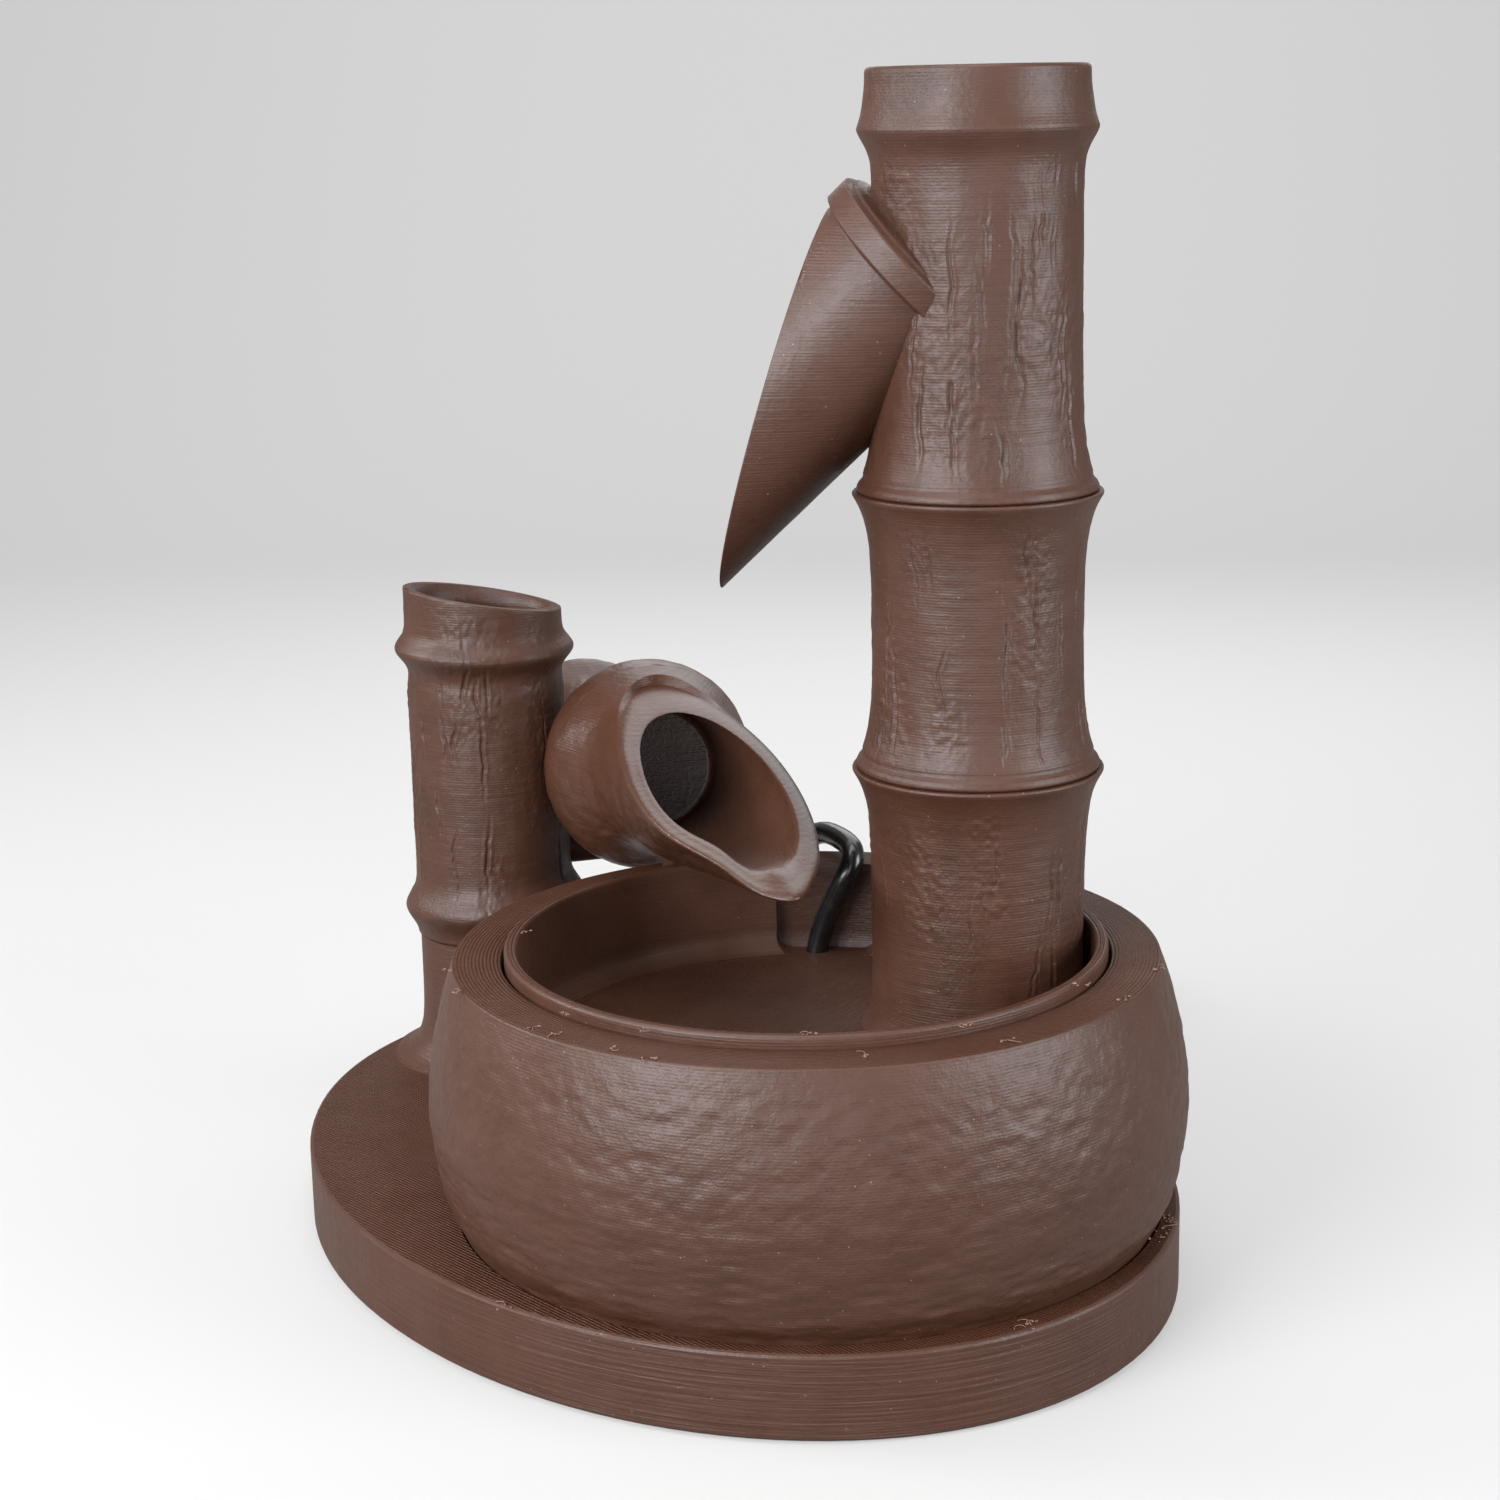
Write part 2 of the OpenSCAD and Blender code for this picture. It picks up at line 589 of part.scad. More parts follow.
module column_top() {
  cut_out = spout_len * cos(spout_drop);
  cut_z = spout_z - spout_len * sin(spout_drop);
  color(brown) column_place() difference() {
    union() {
      rotate_extrude() polygon(concat([[0, high_seam_z]],
        [for (i = [0:top_steps]) let(z = along(high_seam_z, column_top_z, i / top_steps))
          [top_waist - (i % top_steps == 0 ? base_edge : 0) + seam_lip * lip(z - high_seam_z, seam_fade)
            + top_node_h * bulge(z - column_top_z + top_node_drop, top_node_fade), z]],
        [[0, column_top_z]]));
      spigot(high_seam_z);
      difference() {
        spout_frame() cylinder(h = 1.6 * spout_len, r = spout_r);
        rotate([0, 0, spout_dir]) translate([cut_out, 0, cut_z]) rotate([0, -spout_cut, 0])
          translate([0, -spout_len, -spout_len]) cube([spout_len, 2 * spout_len, 2 * spout_len]);
      }
      for (side = [-1, 1])
        spout_frame() translate([0, 0, collar_at + side * (collar_w + collar_groove) / 2 - collar_w / 2])
          cylinder(h = collar_w, r = spout_r + collar_h);
    }
    translate([0, 0, high_seam_z - spigot_len - over])
      cylinder(h = spout_low_z - partition_h - high_seam_z + spigot_len + over, r = column_bore_r - seat_gap - spigot_wall);
    translate([0, 0, spout_low_z]) cylinder(h = far, r = column_bore_r);
    spout_frame() cylinder(h = 2 * spout_len, r = spout_r - spout_wall);
    translate([0, 0, spout_low_z - partition_h - over])
      cylinder(h = partition_h + 2 * over, r = hose_r + seat_gap);
  }
}

module spout_frame() {
  translate([0, 0, spout_z]) rotate([0, 0, spout_dir]) rotate([0, 90 + spout_drop, 0]) children();
}

module hose() {
  low = pump_z + volute_r;
  color("whitesmoke") column_place() difference() {
    translate([0, 0, low]) cylinder(h = spout_low_z + partition_h - low, r = hose_r);
    translate([0, 0, low - over]) cylinder(h = far, r = nozzle_r + seat_gap);
  }
}

// Frame of the pump: z of the shapes along the pump's axis, towards its intake
module pump_frame(x) {
  translate([column_x + x, column_y, pump_z]) rotate([0, 90, 0]) children();
}

module pump_housing() {
  color("dimgray") difference() {
    union() {
      pump_frame(back_x) cylinder(h = pump_len + over, r = pump_r);
      pump_frame(-front_x) cylinder(h = volute_len, r = volute_r);
      translate([column_x + back_x + pump_wall, column_y - sole_w / 2, pump_z - volute_r - sole_h])
        cube([pump_len, sole_w, volute_r / 2]);
      column_place() translate([0, 0, pump_z]) cylinder(h = nozzle_top - pump_z, r = nozzle_r);
    }
    pump_frame(-front_x + pump_wall) cylinder(h = volute_len, r = volute_r - pump_wall);
    pump_frame(well_x) cylinder(h = well_len + over, r = well_r);
    pump_frame(well_x - 2 * shaft_r) cylinder(h = pump_len, r = shaft_r);
    pump_frame(back_x - over) cylinder(h = gland_in + over, r = gland_r);
    column_place() translate([0, 0, pump_z]) cylinder(h = far, r = nozzle_bore);
  }
}

module pump_cover() {
  color("black") difference() {
    union() {
      pump_frame(front_x) cylinder(h = pump_wall, r = volute_r);
      pump_frame(front_x) difference() {
        cylinder(h = pump_wall + cup_h, r = volute_r);
        cylinder(h = pump_wall + cup_h + over, r = volute_r - pump_wall);
      }
    }
    pump_frame(front_x - over) cylinder(h = over + 0.6 * pump_wall, r = shaft_r);
    for (a = [0:60:300]) pump_frame(front_x - over) rotate([0, 0, a]) translate([3 * intake_r, 0, 0])
      cylinder(h = pump_wall + 2 * over, r = intake_r);
  }
}

module intake_foam() {
  color("darkslategray") pump_frame(front_x + pump_wall)
    cylinder(h = cup_h + over, r = volute_r - pump_wall - seat_gap);
}

module rotor() {
  hub_x = -front_x + pump_wall + side_gap;
  color("slategray") difference() {
    union() {
      pump_frame(well_x + side_gap) cylinder(h = hub_x - well_x, r = rotor_r);
      pump_frame(hub_x) cylinder(h = pump_wall * 0.75, r = impeller_r);
      for (i = [1:blades]) pump_frame(hub_x) rotate([0, 0, 360 * i / blades])
        translate([0, -pump_wall / 4, 0]) cube([impeller_r, pump_wall / 2, volute_len - 2 * pump_wall]);
      pump_frame(hub_x) cylinder(h = volute_len - 2 * pump_wall, r = 2 * shaft_r);
    }
    pump_frame(back_x) cylinder(h = far, r = shaft_r + running_gap);
  }
}

module rotor_shaft() {
  low = well_x - 2 * shaft_r;
  color("silver") pump_frame(low) cylinder(h = front_x + 0.6 * pump_wall - low, r = shaft_r);
}

module suction_feet() {
  color("black") for (x = [0.25, 0.85], side = [-1, 1])
    translate([column_x + back_x + x * pump_len, column_y + side * (suction_r + side_gap), chamber_z])
      cylinder(h = suction_h, r1 = suction_r, r2 = suction_r * 0.6);
}

module cable_gland() {
  color("black") difference() {
    union() {
      pump_frame(back_x) cylinder(h = gland_in, r = gland_r);
      pump_frame(back_x - gland_out) cylinder(h = gland_out, r1 = cord_d * 0.8, r2 = boot_r);
    }
    pump_frame(back_x - gland_out - over) cylinder(h = gland_in + gland_out + 2 * over, r = cord_d / 2);
  }
}

module cord() {
  start = [[column_x + back_x + gland_in, column_y, pump_z]];
  color("black") loft(cord_rings(smooth(concat(start, cord_route), 2), cord_d / 2, 10));
}

// The coil winds in on its upper layer, drops inside, and winds out on its lower layer
function coil_path() = concat(
  [for (i = [0:24 * coil_turns]) let(a = 180 - 15 * i)
    [coil_x + (coil_out_r - coil_pitch * i / 24) * cos(a),
     coil_y + (coil_out_r - coil_pitch * i / 24) * sin(a), coil_high_z]],
  [for (i = [1:11]) let(a = 180 - 15 * (24 * coil_turns + i), r = coil_in_r - coil_dip * sin(15 * i))
    [coil_x + r * cos(a), coil_y + r * sin(a), along(coil_high_z, coil_low_z, (1 - cos(15 * i)) / 2)]],
  [for (i = [0:24 * back_turns]) let(a = 180 - 15 * (24 * coil_turns + 12 + i),
                                     r = coil_in_r + coil_pitch * i / 24)
    [coil_x + r * cos(a), coil_y + r * sin(a), coil_low_z]]);

module cord_coil() {
  path = coil_path();
  full = concat([[coil_x - coil_out_r, coil_y - cord_d / 2, coil_high_z]], path, coil_lead);
  least = min([for (i = [0:len(path) - 1]) for (j = [i + 8:1:len(path) - 1])
    norm(path[i] - path[j])]) - cord_d;
  echo(least_gap_in_coil = least);
  color("black") loft(cord_rings(full, cord_d / 2, 6));
}

module coil_tie() {
  low_r = coil_in_r - cord_d / 2 - tie_gap;
  high_r = coil_out_r - coil_pitch / 2 + cord_d / 2 + tie_gap;
  color("black") translate([coil_x, coil_y - tie_w / 2, 0]) difference() {
    translate([low_r - tie_t, 0, 0]) cube([high_r - low_r + 2 * tie_t, tie_w, coil_high_z + cord_d / 2 + side_gap + tie_t]);
    translate([low_r, -over, tie_t]) cube([high_r - low_r, tie_w + 2 * over, coil_high_z + cord_d / 2 + side_gap - tie_t]);
  }
}

// Frame at the cable's end: x along the plug
module plug_frame() {
  translate(coil_lead[len(coil_lead) - 1]) rotate([0, 0, plug_turn]) children();
}

module plug_grip() {
  color("black") difference() {
    plug_frame() {
      translate([relief_len - over, 0, 0]) linear_extrude(grip_t, center = true) {
        translate([0, -grip_w / 2 + grip_round]) square([grip_len + over, grip_w - 2 * grip_round]);
        translate([grip_round, -grip_w / 2]) square([grip_len + over - 2 * grip_round, grip_w]);
        for (x = [grip_round, grip_len + over - grip_round], side = [-1, 1])
          translate([x, side * (grip_w / 2 - grip_round)]) circle(r = grip_round);
      }
      rotate([0, 90, 0]) translate([0, 0, -cord_d / 2]) cylinder(h = relief_len + cord_d / 2, r1 = relief_r * 0.85, r2 = relief_r);
    }
    plug_frame() rotate([0, 90, 0]) translate([0, 0, -cord_d]) cylinder(h = cord_d + side_gap, r = cord_d / 2 + side_gap);
    plug_frame() translate([relief_len + grip_len - shell_in, -plug_w / 2 - seat_gap, -plug_t / 2 - seat_gap])
      cube([shell_in + over, plug_w + 2 * seat_gap, plug_t + 2 * seat_gap]);
  }
}

module plug_shell() {
  color("silver") plug_frame() translate([relief_len + grip_len - shell_in, -plug_w / 2, -plug_t / 2]) difference() {
    cube([shell_len + shell_in, plug_w, plug_t]);
    translate([-over, shell_wall, shell_wall])
      cube([shell_len + shell_in + 2 * over, plug_w - 2 * shell_wall, plug_t - 2 * shell_wall]);
  }
}

module plug_tongue() {
  color("white") plug_frame()
    translate([relief_len + grip_len - shell_in, -plug_w / 2 + shell_wall, -plug_t / 2 + shell_wall])
      cube([shell_in + tongue_len, plug_w - 2 * shell_wall, tongue_t]);
}

base_plate();
post();
axle_pin();
axle_washer();
axle_cap();
tipping_tube();
tail_weight();
tail_plug();
bowl();
tray();
column_middle();
column_top();
hose();
pump_housing();
pump_cover();
intake_foam();
rotor();
rotor_shaft();
suction_feet();
cable_gland();
cord();
cord_coil();
coil_tie();
plug_grip();
plug_shell();
plug_tongue();
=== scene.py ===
# %% [markdown]
# # A desk-top shishi odoshi, dressed for its portrait
# The solids of this bamboo fountain come from the CAD frame. This lesson dresses them: bark, stone and
# print lines are worked into the surfaces with numpy, and each finish is a small tree of nodes. Lengths
# are written in millimetres, as in the source of the solids, and become metres where a mesh is made.

# %% Frame
import json
import math
import numpy as np
import bpy
import bmesh
from mathutils import Matrix, Vector


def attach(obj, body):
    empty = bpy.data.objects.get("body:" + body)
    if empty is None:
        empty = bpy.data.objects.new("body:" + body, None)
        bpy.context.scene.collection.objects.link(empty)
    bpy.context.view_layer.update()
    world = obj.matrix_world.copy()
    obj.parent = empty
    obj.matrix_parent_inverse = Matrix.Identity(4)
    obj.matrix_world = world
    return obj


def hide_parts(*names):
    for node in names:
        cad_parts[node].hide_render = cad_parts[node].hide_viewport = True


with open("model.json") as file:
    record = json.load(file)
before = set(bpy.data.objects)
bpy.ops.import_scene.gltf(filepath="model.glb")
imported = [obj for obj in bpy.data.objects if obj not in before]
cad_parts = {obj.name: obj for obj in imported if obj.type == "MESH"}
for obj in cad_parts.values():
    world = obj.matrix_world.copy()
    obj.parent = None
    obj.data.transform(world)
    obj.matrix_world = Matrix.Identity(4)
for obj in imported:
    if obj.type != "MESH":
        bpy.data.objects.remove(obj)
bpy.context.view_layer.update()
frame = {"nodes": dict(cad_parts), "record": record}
MM = 0.001
TURN = 2 * math.pi
nodes = frame["nodes"]
print("nodes:", len(nodes))

# %% [markdown]
# ## Camera
# A product photo is taken from a little above, with a long lens. The camera's three axes were found from
# the round rim, the round recess and the seams of the column, so they are written as unit vectors.

# %% Camera
CAMERA_AT = (4.1565, -413.872, 187.947)
LOOK = (-0.02912149, 0.97153881, -0.23508354)
RIGHT = (0.99948529, 0.02513588, -0.01993342)
UP = (0.01345706, 0.23554303, 0.97177075)
LENS_PIXELS = 2699.6
PHOTO_PIXELS = 1500
SENSOR_MM = 36
NEAREST_M = 0.01

camera_data = bpy.data.cameras.new("camera")
camera_data.sensor_width = SENSOR_MM
camera_data.lens = LENS_PIXELS / PHOTO_PIXELS * SENSOR_MM
camera_data.clip_start = NEAREST_M
camera = bpy.data.objects.new("camera", camera_data)
bpy.context.scene.collection.objects.link(camera)
axes = [[RIGHT[i], UP[i], -LOOK[i], CAMERA_AT[i] * MM] for i in range(3)]
camera.matrix_world = Matrix(axes + [[0, 0, 0, 1]])
bpy.context.scene.camera = camera
print("lens, mm:", round(camera_data.lens, 1))

# %% [markdown]
# ## Surfaces from grids
# Every new piece is a grid: rows run along a profile and columns run round it. Short functions of one
# number make soft steps, lips and rings, and one gives smooth noise that repeats round the piece, so that
# no seam shows. A last helper turns grids into a mesh that rides its body in the place of a plain solid.

# %% Grid helpers


def along(a, b, s):
    """The point a share s of the way from a to b."""
    return a + (b - a) * s


def bulge(d, width):
    """A rounded bulge: e to the minus square of distance over width."""
    return np.exp(-(d / width) ** 2)


def fade(d, width):
    """A lip that fades: e to the minus distance over width."""
    return np.exp(-d / width)


def ease(s):
    """A soft step from 0 to 1: three s squared minus two s cubed."""
    s = np.clip(s, 0, 1)
    return s * s * (3 - 2 * s)


def noise(u, v, around, pitch, seed):
    """Smooth noise between -1 and 1: a lattice of random heights, `around` cells per turn and one cell per
    pitch of v, blended with a soft step. u is the angle in turns."""
    draw = np.random.default_rng(seed)
    rows = 512
    lattice = draw.uniform(-1, 1, (rows, around))
    x = (np.asarray(u) % 1) * around
    y = np.asarray(v) / pitch + 100.0
    i, j = np.floor(x).astype(int), np.floor(y).astype(int)
    a, b = ease(x - i), ease(y - j)
    low = along(lattice[j % rows, i % around], lattice[j % rows, (i + 1) % around], a)
    high = along(lattice[(j + 1) % rows, i % around], lattice[(j + 1) % rows, (i + 1) % around], a)
    return along(low, high, b)


def grid_faces(rows, cols, base, joined):
    """Quads between neighbouring rows, all the way round, and back to the first row where joined."""
    i = np.arange(rows if joined else rows - 1)[:, None]
    j = np.arange(cols)[None, :]
    k, n = (i + 1) % rows, (j + 1) % cols
    quads = np.stack([i * cols + j, i * cols + n, k * cols + n, k * cols + j], -1).reshape(-1, 4)
    return (quads + base).tolist()


def make_piece(name, grids, node, body, finish):
    """One mesh from several closed grids. A grid is (points, height along the piece, joined, caps)."""
    points, heights, faces = [], [], []
    base = 0
    for grid, height, joined, caps in grids:
        rows, cols = grid.shape[:2]
        points.append(grid.reshape(-1, 3))
        heights.append(np.broadcast_to(height, (rows, cols)).reshape(-1))
        faces += grid_faces(rows, cols, base, joined)
        extra = base + rows * cols
        for cap in caps:
            ring = base + (0 if cap == 0 else rows - 1) * cols
            points.append(grid[cap].mean(0)[None])
            heights.append(np.array([np.mean(heights[-1])]))
            faces += [[extra, ring + j, ring + (j + 1) % cols] for j in range(cols)]
            extra += 1
        base = extra
    mesh = bpy.data.meshes.new(name)
    mesh.from_pydata((np.concatenate(points) * MM).tolist(), [], faces)
    mesh.update()
    layer = mesh.attributes.new("height", "FLOAT", "POINT")
    layer.data.foreach_set("value", np.concatenate(heights).astype(np.float32))
    shape = bmesh.new()
    shape.from_mesh(mesh)
    bmesh.ops.recalc_face_normals(shape, faces=shape.faces)
    shape.to_mesh(mesh)
    shape.free()
    mesh.polygons.foreach_set("use_smooth", [True] * len(mesh.polygons))
    mesh.materials.append(finish)
    piece = bpy.data.objects.new(name, mesh)
    bpy.context.scene.collection.objects.link(piece)
    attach(piece, body)
    if node:
        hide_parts(node)
    print(name, len(mesh.polygons), "faces")
    return piece


# %% [markdown]
# ## The brown print
# The real pieces are printed in chocolate-brown plastic. Its colour leans to orange in the shade and to
# mauve where light glances off it, the layers draw fine level lines, and flat tops show slanting lines. A
# noise tree mixes the three browns, and a sine of the height attribute gives the lines as bump, so
# nothing is painted on.

# %% Finish helpers


def new_finish(name, colour, rough, **sockets):
    """A material with one Principled shader, its plain values set on its own sockets."""
    finish = bpy.data.materials.new(name)
    finish.use_nodes = True
    shader = finish.node_tree.nodes["Principled BSDF"]
    shader.inputs["Base Color"].default_value = (*colour, 1)
    shader.inputs["Roughness"].default_value = rough
    for socket, value in sockets.items():
        shader.inputs[socket.replace("_", " ")].default_value = value
    return finish, finish.node_tree, shader


def add(tree, kind, links=None, **values):
    """A node of that kind: values fill its properties or sockets, links join its inputs."""
    made = tree.nodes.new(kind)
    for key, value in values.items():
        if hasattr(made, key):
            setattr(made, key, value)
        else:
            made.inputs[key.replace("_", " ")].default_value = value
    for key, source in (links or {}).items():
        tree.links.new(source, made.inputs[key])
    return made


def ramp(tree, source, stops):
    """A colour ramp over a factor."""
    made = tree.nodes.new("ShaderNodeValToRGB")
    tree.links.new(source, made.inputs["Fac"])
    while len(made.color_ramp.elements) < len(stops):
        made.color_ramp.elements.new(0.5)
    for element, (place, colour) in zip(made.color_ramp.elements, stops):
        element.position = place
        element.color = (*colour, 1)
    return made.outputs["Color"]


def math_node(tree, operation, *inputs):
    """A Math node: each input is a socket to join or a number to set."""
    made = tree.nodes.new("ShaderNodeMath")
    made.operation = operation
    for slot, value in enumerate(inputs):
        if isinstance(value, (int, float)):
            made.inputs[slot].default_value = value
        else:
            tree.links.new(value, made.inputs[slot])
    return made.outputs[0]


def cloud_of(tree, place, scale, detail=3.0, stretch=(1, 1, 1), rough=0.6):
    """Noise over the object's own metres: scale cells per metre, divided by the stretch of each axis."""
    spread = add(tree, "ShaderNodeMapping", {"Vector": place})
    spread.inputs["Scale"].default_value = [scale / k for k in stretch]
    cloud = add(tree, "ShaderNodeTexNoise", {"Vector": spread.outputs[0]},
                Scale=1.0, Detail=detail, Roughness=rough)
    return cloud.outputs["Fac"]


# %% [markdown]
# The print's relief differs from face to face. Steep faces carry streaks, layer lines and, where asked,
# the bark's scales or the stone's dents; level faces carry the path of the nozzle. Each is a function
# that returns a height.

# %% Finish of the brown print
DEEP, WARM, PALE = (0.058, 0.0225, 0.011), (0.077, 0.030, 0.016), (0.088, 0.038, 0.0235)
DUST = (0.45, 0.36, 0.32, 1)
LAYER_MM, LAYER_RELIEF = 0.46, 0.035
SLANT_PITCH_M, ROUND_PITCH_M = 0.00088, 0.00058
LEVEL_FACE, NO_FACE = 0.93, 2.0
PRINT_SHEEN, LEVEL_SHEEN_LOSS = 0.56, 0.4
PRINT_DEPTH_M, SKIN_DEPTH_M = 0.00017, 0.0001


def steep_skin(tree, place, grain, crackle, patch, streak, bark, hammer):
    """Height of steep faces: streaks, grain and a sine per layer, with scales or dents where asked."""
    height = add(tree, "ShaderNodeAttribute", attribute_name="height").outputs["Fac"]
    layers = math_node(tree, "SINE", math_node(tree, "MULTIPLY", height, TURN / LAYER_MM))
    lines = cloud_of(tree, place, 1700, 1.5, (36, 36, 1))
    side = math_node(tree, "MULTIPLY_ADD", lines, streak * 1.6, math_node(tree, "MULTIPLY", grain, 0.5))
    side = math_node(tree, "MULTIPLY_ADD", layers, LAYER_RELIEF, side)
    if bark:
        side = math_node(tree, "MULTIPLY_ADD", math_node(tree, "MULTIPLY", crackle, patch), bark, side)
    if hammer:
        dents = cloud_of(tree, place, 520, 3.0, (1, 1, 0.8))
        side = math_node(tree, "MULTIPLY_ADD", dents, hammer, side)
    return side


def level_skin(tree, place, grain, top):
    """Height of level faces: the sine of x plus y for slanting lines, or of the distance from the axis."""
    split = add(tree, "ShaderNodeSeparateXYZ", {0: place})
    if top == "slant":
        run = math_node(tree, "ADD", split.outputs["X"], split.outputs["Y"])
        path = math_node(tree, "MULTIPLY", run, TURN / SLANT_PITCH_M)
    else:
        flat = add(tree, "ShaderNodeCombineXYZ", {"X": split.outputs["X"], "Y": split.outputs["Y"]})
        far = add(tree, "ShaderNodeVectorMath", {0: flat.outputs[0]}, operation="LENGTH").outputs["Value"]
        path = math_node(tree, "MULTIPLY", far, TURN / ROUND_PITCH_M)
    rough = math_node(tree, "MULTIPLY", grain, 1.3)
    return math_node(tree, "MULTIPLY_ADD", math_node(tree, "SINE", path), 0.5, rough)


def brown_of(tree, place, grain, patch, upward, bark):
    """The colour: noise over three browns, darker in rough bark, paler on level faces as painted light from
    above, and a few specks of pale dust.
    """
    cloud = cloud_of(tree, place, 120, 5.0)
    tint = math_node(tree, "MULTIPLY_ADD", cloud, 0.75, math_node(tree, "MULTIPLY", grain, 0.25))
    tint = math_node(tree, "MULTIPLY_ADD", patch, -0.10 if bark else 0.0, tint)
    # Painted light: faces that point up get a paler brown, standing in for light falling on them from above.
    tint = math_node(tree, "MULTIPLY_ADD", upward, 0.04, tint)
    specks = add(tree, "ShaderNodeTexVoronoi", {"Vector": place}, Scale=430.0).outputs["Distance"]
    dusty = math_node(tree, "MULTIPLY", math_node(tree, "LESS_THAN", specks, 0.05), 0.4)
    dusted = add(tree, "ShaderNodeMix", data_type="RGBA")
    tree.links.new(dusty, dusted.inputs["Factor"])
    tree.links.new(ramp(tree, tint, [(0.26, DEEP), (0.46, WARM), (0.68, PALE)]), dusted.inputs[6])
    dusted.inputs[7].default_value = DUST
    return dusted.outputs[2]


def print_finish(name, top="slant", streak=0.5, bark=0.0, hammer=0.0, gloss=(0.34, 0.58)):
    """Brown printed plastic: layer lines on steep faces, the nozzle's path on level ones."""
    finish, tree, shader = new_finish(name, WARM, 0.46, Specular_Tint=(0.84, 0.93, 1.0, 1.0))
    place = add(tree, "ShaderNodeTexCoord").outputs["Object"]
    facing = add(tree, "ShaderNodeNewGeometry").outputs["True Normal"]
    rise = add(tree, "ShaderNodeSeparateXYZ", {0: facing}).outputs["Z"]
    upward = math_node(tree, "GREATER_THAN", rise, NO_FACE if top == "none" else LEVEL_FACE)
    grain = cloud_of(tree, place, 1300, 4.0)
    patch = ramp(tree, cloud_of(tree, place, 75, 2.0, (1, 1, 2.6)), [(0.47, (0, 0, 0)), (0.60, (1, 1, 1))])
    crackle = cloud_of(tree, place, 800, 5.0, (1, 1, 1.7), 0.7)
    pick = add(tree, "ShaderNodeMix", data_type="FLOAT")
    tree.links.new(upward, pick.inputs["Factor"])
    tree.links.new(steep_skin(tree, place, grain, crackle, patch, streak, bark, hammer), pick.inputs["A"])
    tree.links.new(level_skin(tree, place, grain, top), pick.inputs["B"])
    relief = pick.outputs["Result"]
    bump = add(tree, "ShaderNodeBump", {"Height": relief}, Strength=1.0, Distance=PRINT_DEPTH_M)
    tree.links.new(bump.outputs[0], shader.inputs["Normal"])
    tree.links.new(brown_of(tree, place, grain, patch, upward, bark), shader.inputs["Base Color"])
    sheen = math_node(tree, "MULTIPLY_ADD", upward, -LEVEL_SHEEN_LOSS, PRINT_SHEEN)
    tree.links.new(sheen, shader.inputs["Specular IOR Level"])
    shine = add(tree, "ShaderNodeMapRange", {"Value": crackle})
    shine.inputs["To Min"].default_value, shine.inputs["To Max"].default_value = gloss
    tree.links.new(shine.outputs[0], shader.inputs["Roughness"])
    return finish


def dressed(name, dark, pale, rough, scale, depth=0.1, **sockets):
    """Any other material: noise mixes two close colours, varies the gloss and gives a fine skin."""
    finish, tree, shader = new_finish(name, pale, rough, **sockets)
    place = add(tree, "ShaderNodeTexCoord").outputs["Object"]
    cloud = cloud_of(tree, place, scale, 4.0)
    tree.links.new(ramp(tree, cloud, [(0.35, dark), (0.65, pale)]), shader.inputs["Base Color"])
    gloss = add(tree, "ShaderNodeMapRange", {"Value": cloud})
    gloss.inputs["To Min"].default_value = rough * 0.8
    gloss.inputs["To Max"].default_value = rough * 1.2
    tree.links.new(gloss.outputs[0], shader.inputs["Roughness"])
    skin = cloud_of(tree, place, scale * 6, 2.0)
    bump = add(tree, "ShaderNodeBump", {"Height": skin}, Strength=depth, Distance=SKIN_DEPTH_M)
    tree.links.new(bump.outputs[0], shader.inputs["Normal"])
    return finish


bark_print = print_finish("bark_print", bark=1.2, streak=0.16)
stone_print = print_finish("stone_print", top="round", hammer=0.9, streak=0.12)
base_print = print_finish("base_print", streak=0.8)
smooth_print = print_finish("smooth_print", top="round", streak=0.25)
gloss_print = print_finish("gloss_print", top="none", streak=0.2, gloss=(0.24, 0.38))
print("brown finishes: 5")

# %% [markdown]
# ## Bark
# Bamboo on this fountain has bark: long shallow cracks with a raised edge, and upright bands of small
# scales on a calm skin. Each crack is a narrow dent along the stem whose depth fades at both ends. All of
# them are summed on the whole grid. Most are drawn at random; the longest ones of the top section are
# listed.

# %% Bark
MARKED_WIDE, MARKED_DEEP = 0.3, 0.5


def crack(u, z, around_mm, seed, at, mid, half, wide, depth):
    """One crack: a narrow dent that wanders along the stem, with a small raised edge on each side."""
    line = np.zeros_like(z) + at
    sway = 0.8 * noise(line, z, 7, 5.0, seed) + 0.28 * noise(line, z, 7, 1.3, seed + 1)
    d = ((u - at + 0.5) % 1 - 0.5) * around_mm + sway
    there = bulge(z - mid, half) * ease(noise(line, z, 7, 3.0, seed + 2) + 1.1)
    raised = bulge(d - 2.2 * wide, wide * 1.2) + 0.7 * bulge(d + 2.4 * wide, wide * 1.2)
    return there * (0.13 * raised - depth * bulge(d, wide))


def bark(u, z, around_mm, seed, cracks, reach, depth=0.36, marks=()):
    """Radial offset in mm: a calm skin, narrow upright bands of small scales, and cracks, drawn or marked."""
    draw = np.random.default_rng(seed)
    shifted = u + 0.02 * noise(u, z, 9, 9, seed + 5)
    rough = ease((noise(shifted, z, 17, 22, seed + 4) + 0.1) * 2.2)
    calm = 0.05 * noise(u, z, 60, 3.5, seed + 2) + 0.03 * noise(u, z, 30, 0.8, seed + 6)
    scales = 0.06 * noise(u, z, 110, 1.1, seed + 1) + 0.07 * noise(u, z, 160, 0.7, seed + 3)
    out = calm + (scales + 0.05 * noise(u, z, 70, 2.6, seed + 7)) * rough
    for _ in range(cracks):
        place = (draw.uniform(0, 1), draw.uniform(*reach), draw.uniform(2.5, 8), draw.uniform(0.16, 0.3))
        out = out + crack(u, z, around_mm, int(draw.integers(1, 9999)), *place, depth * draw.uniform(0.5, 1))
    for number, (at, mid, half) in enumerate(marks):
        out = out + crack(u, z, around_mm, seed + 50 + 3 * number, at, mid, half, MARKED_WIDE, MARKED_DEEP)
    return out


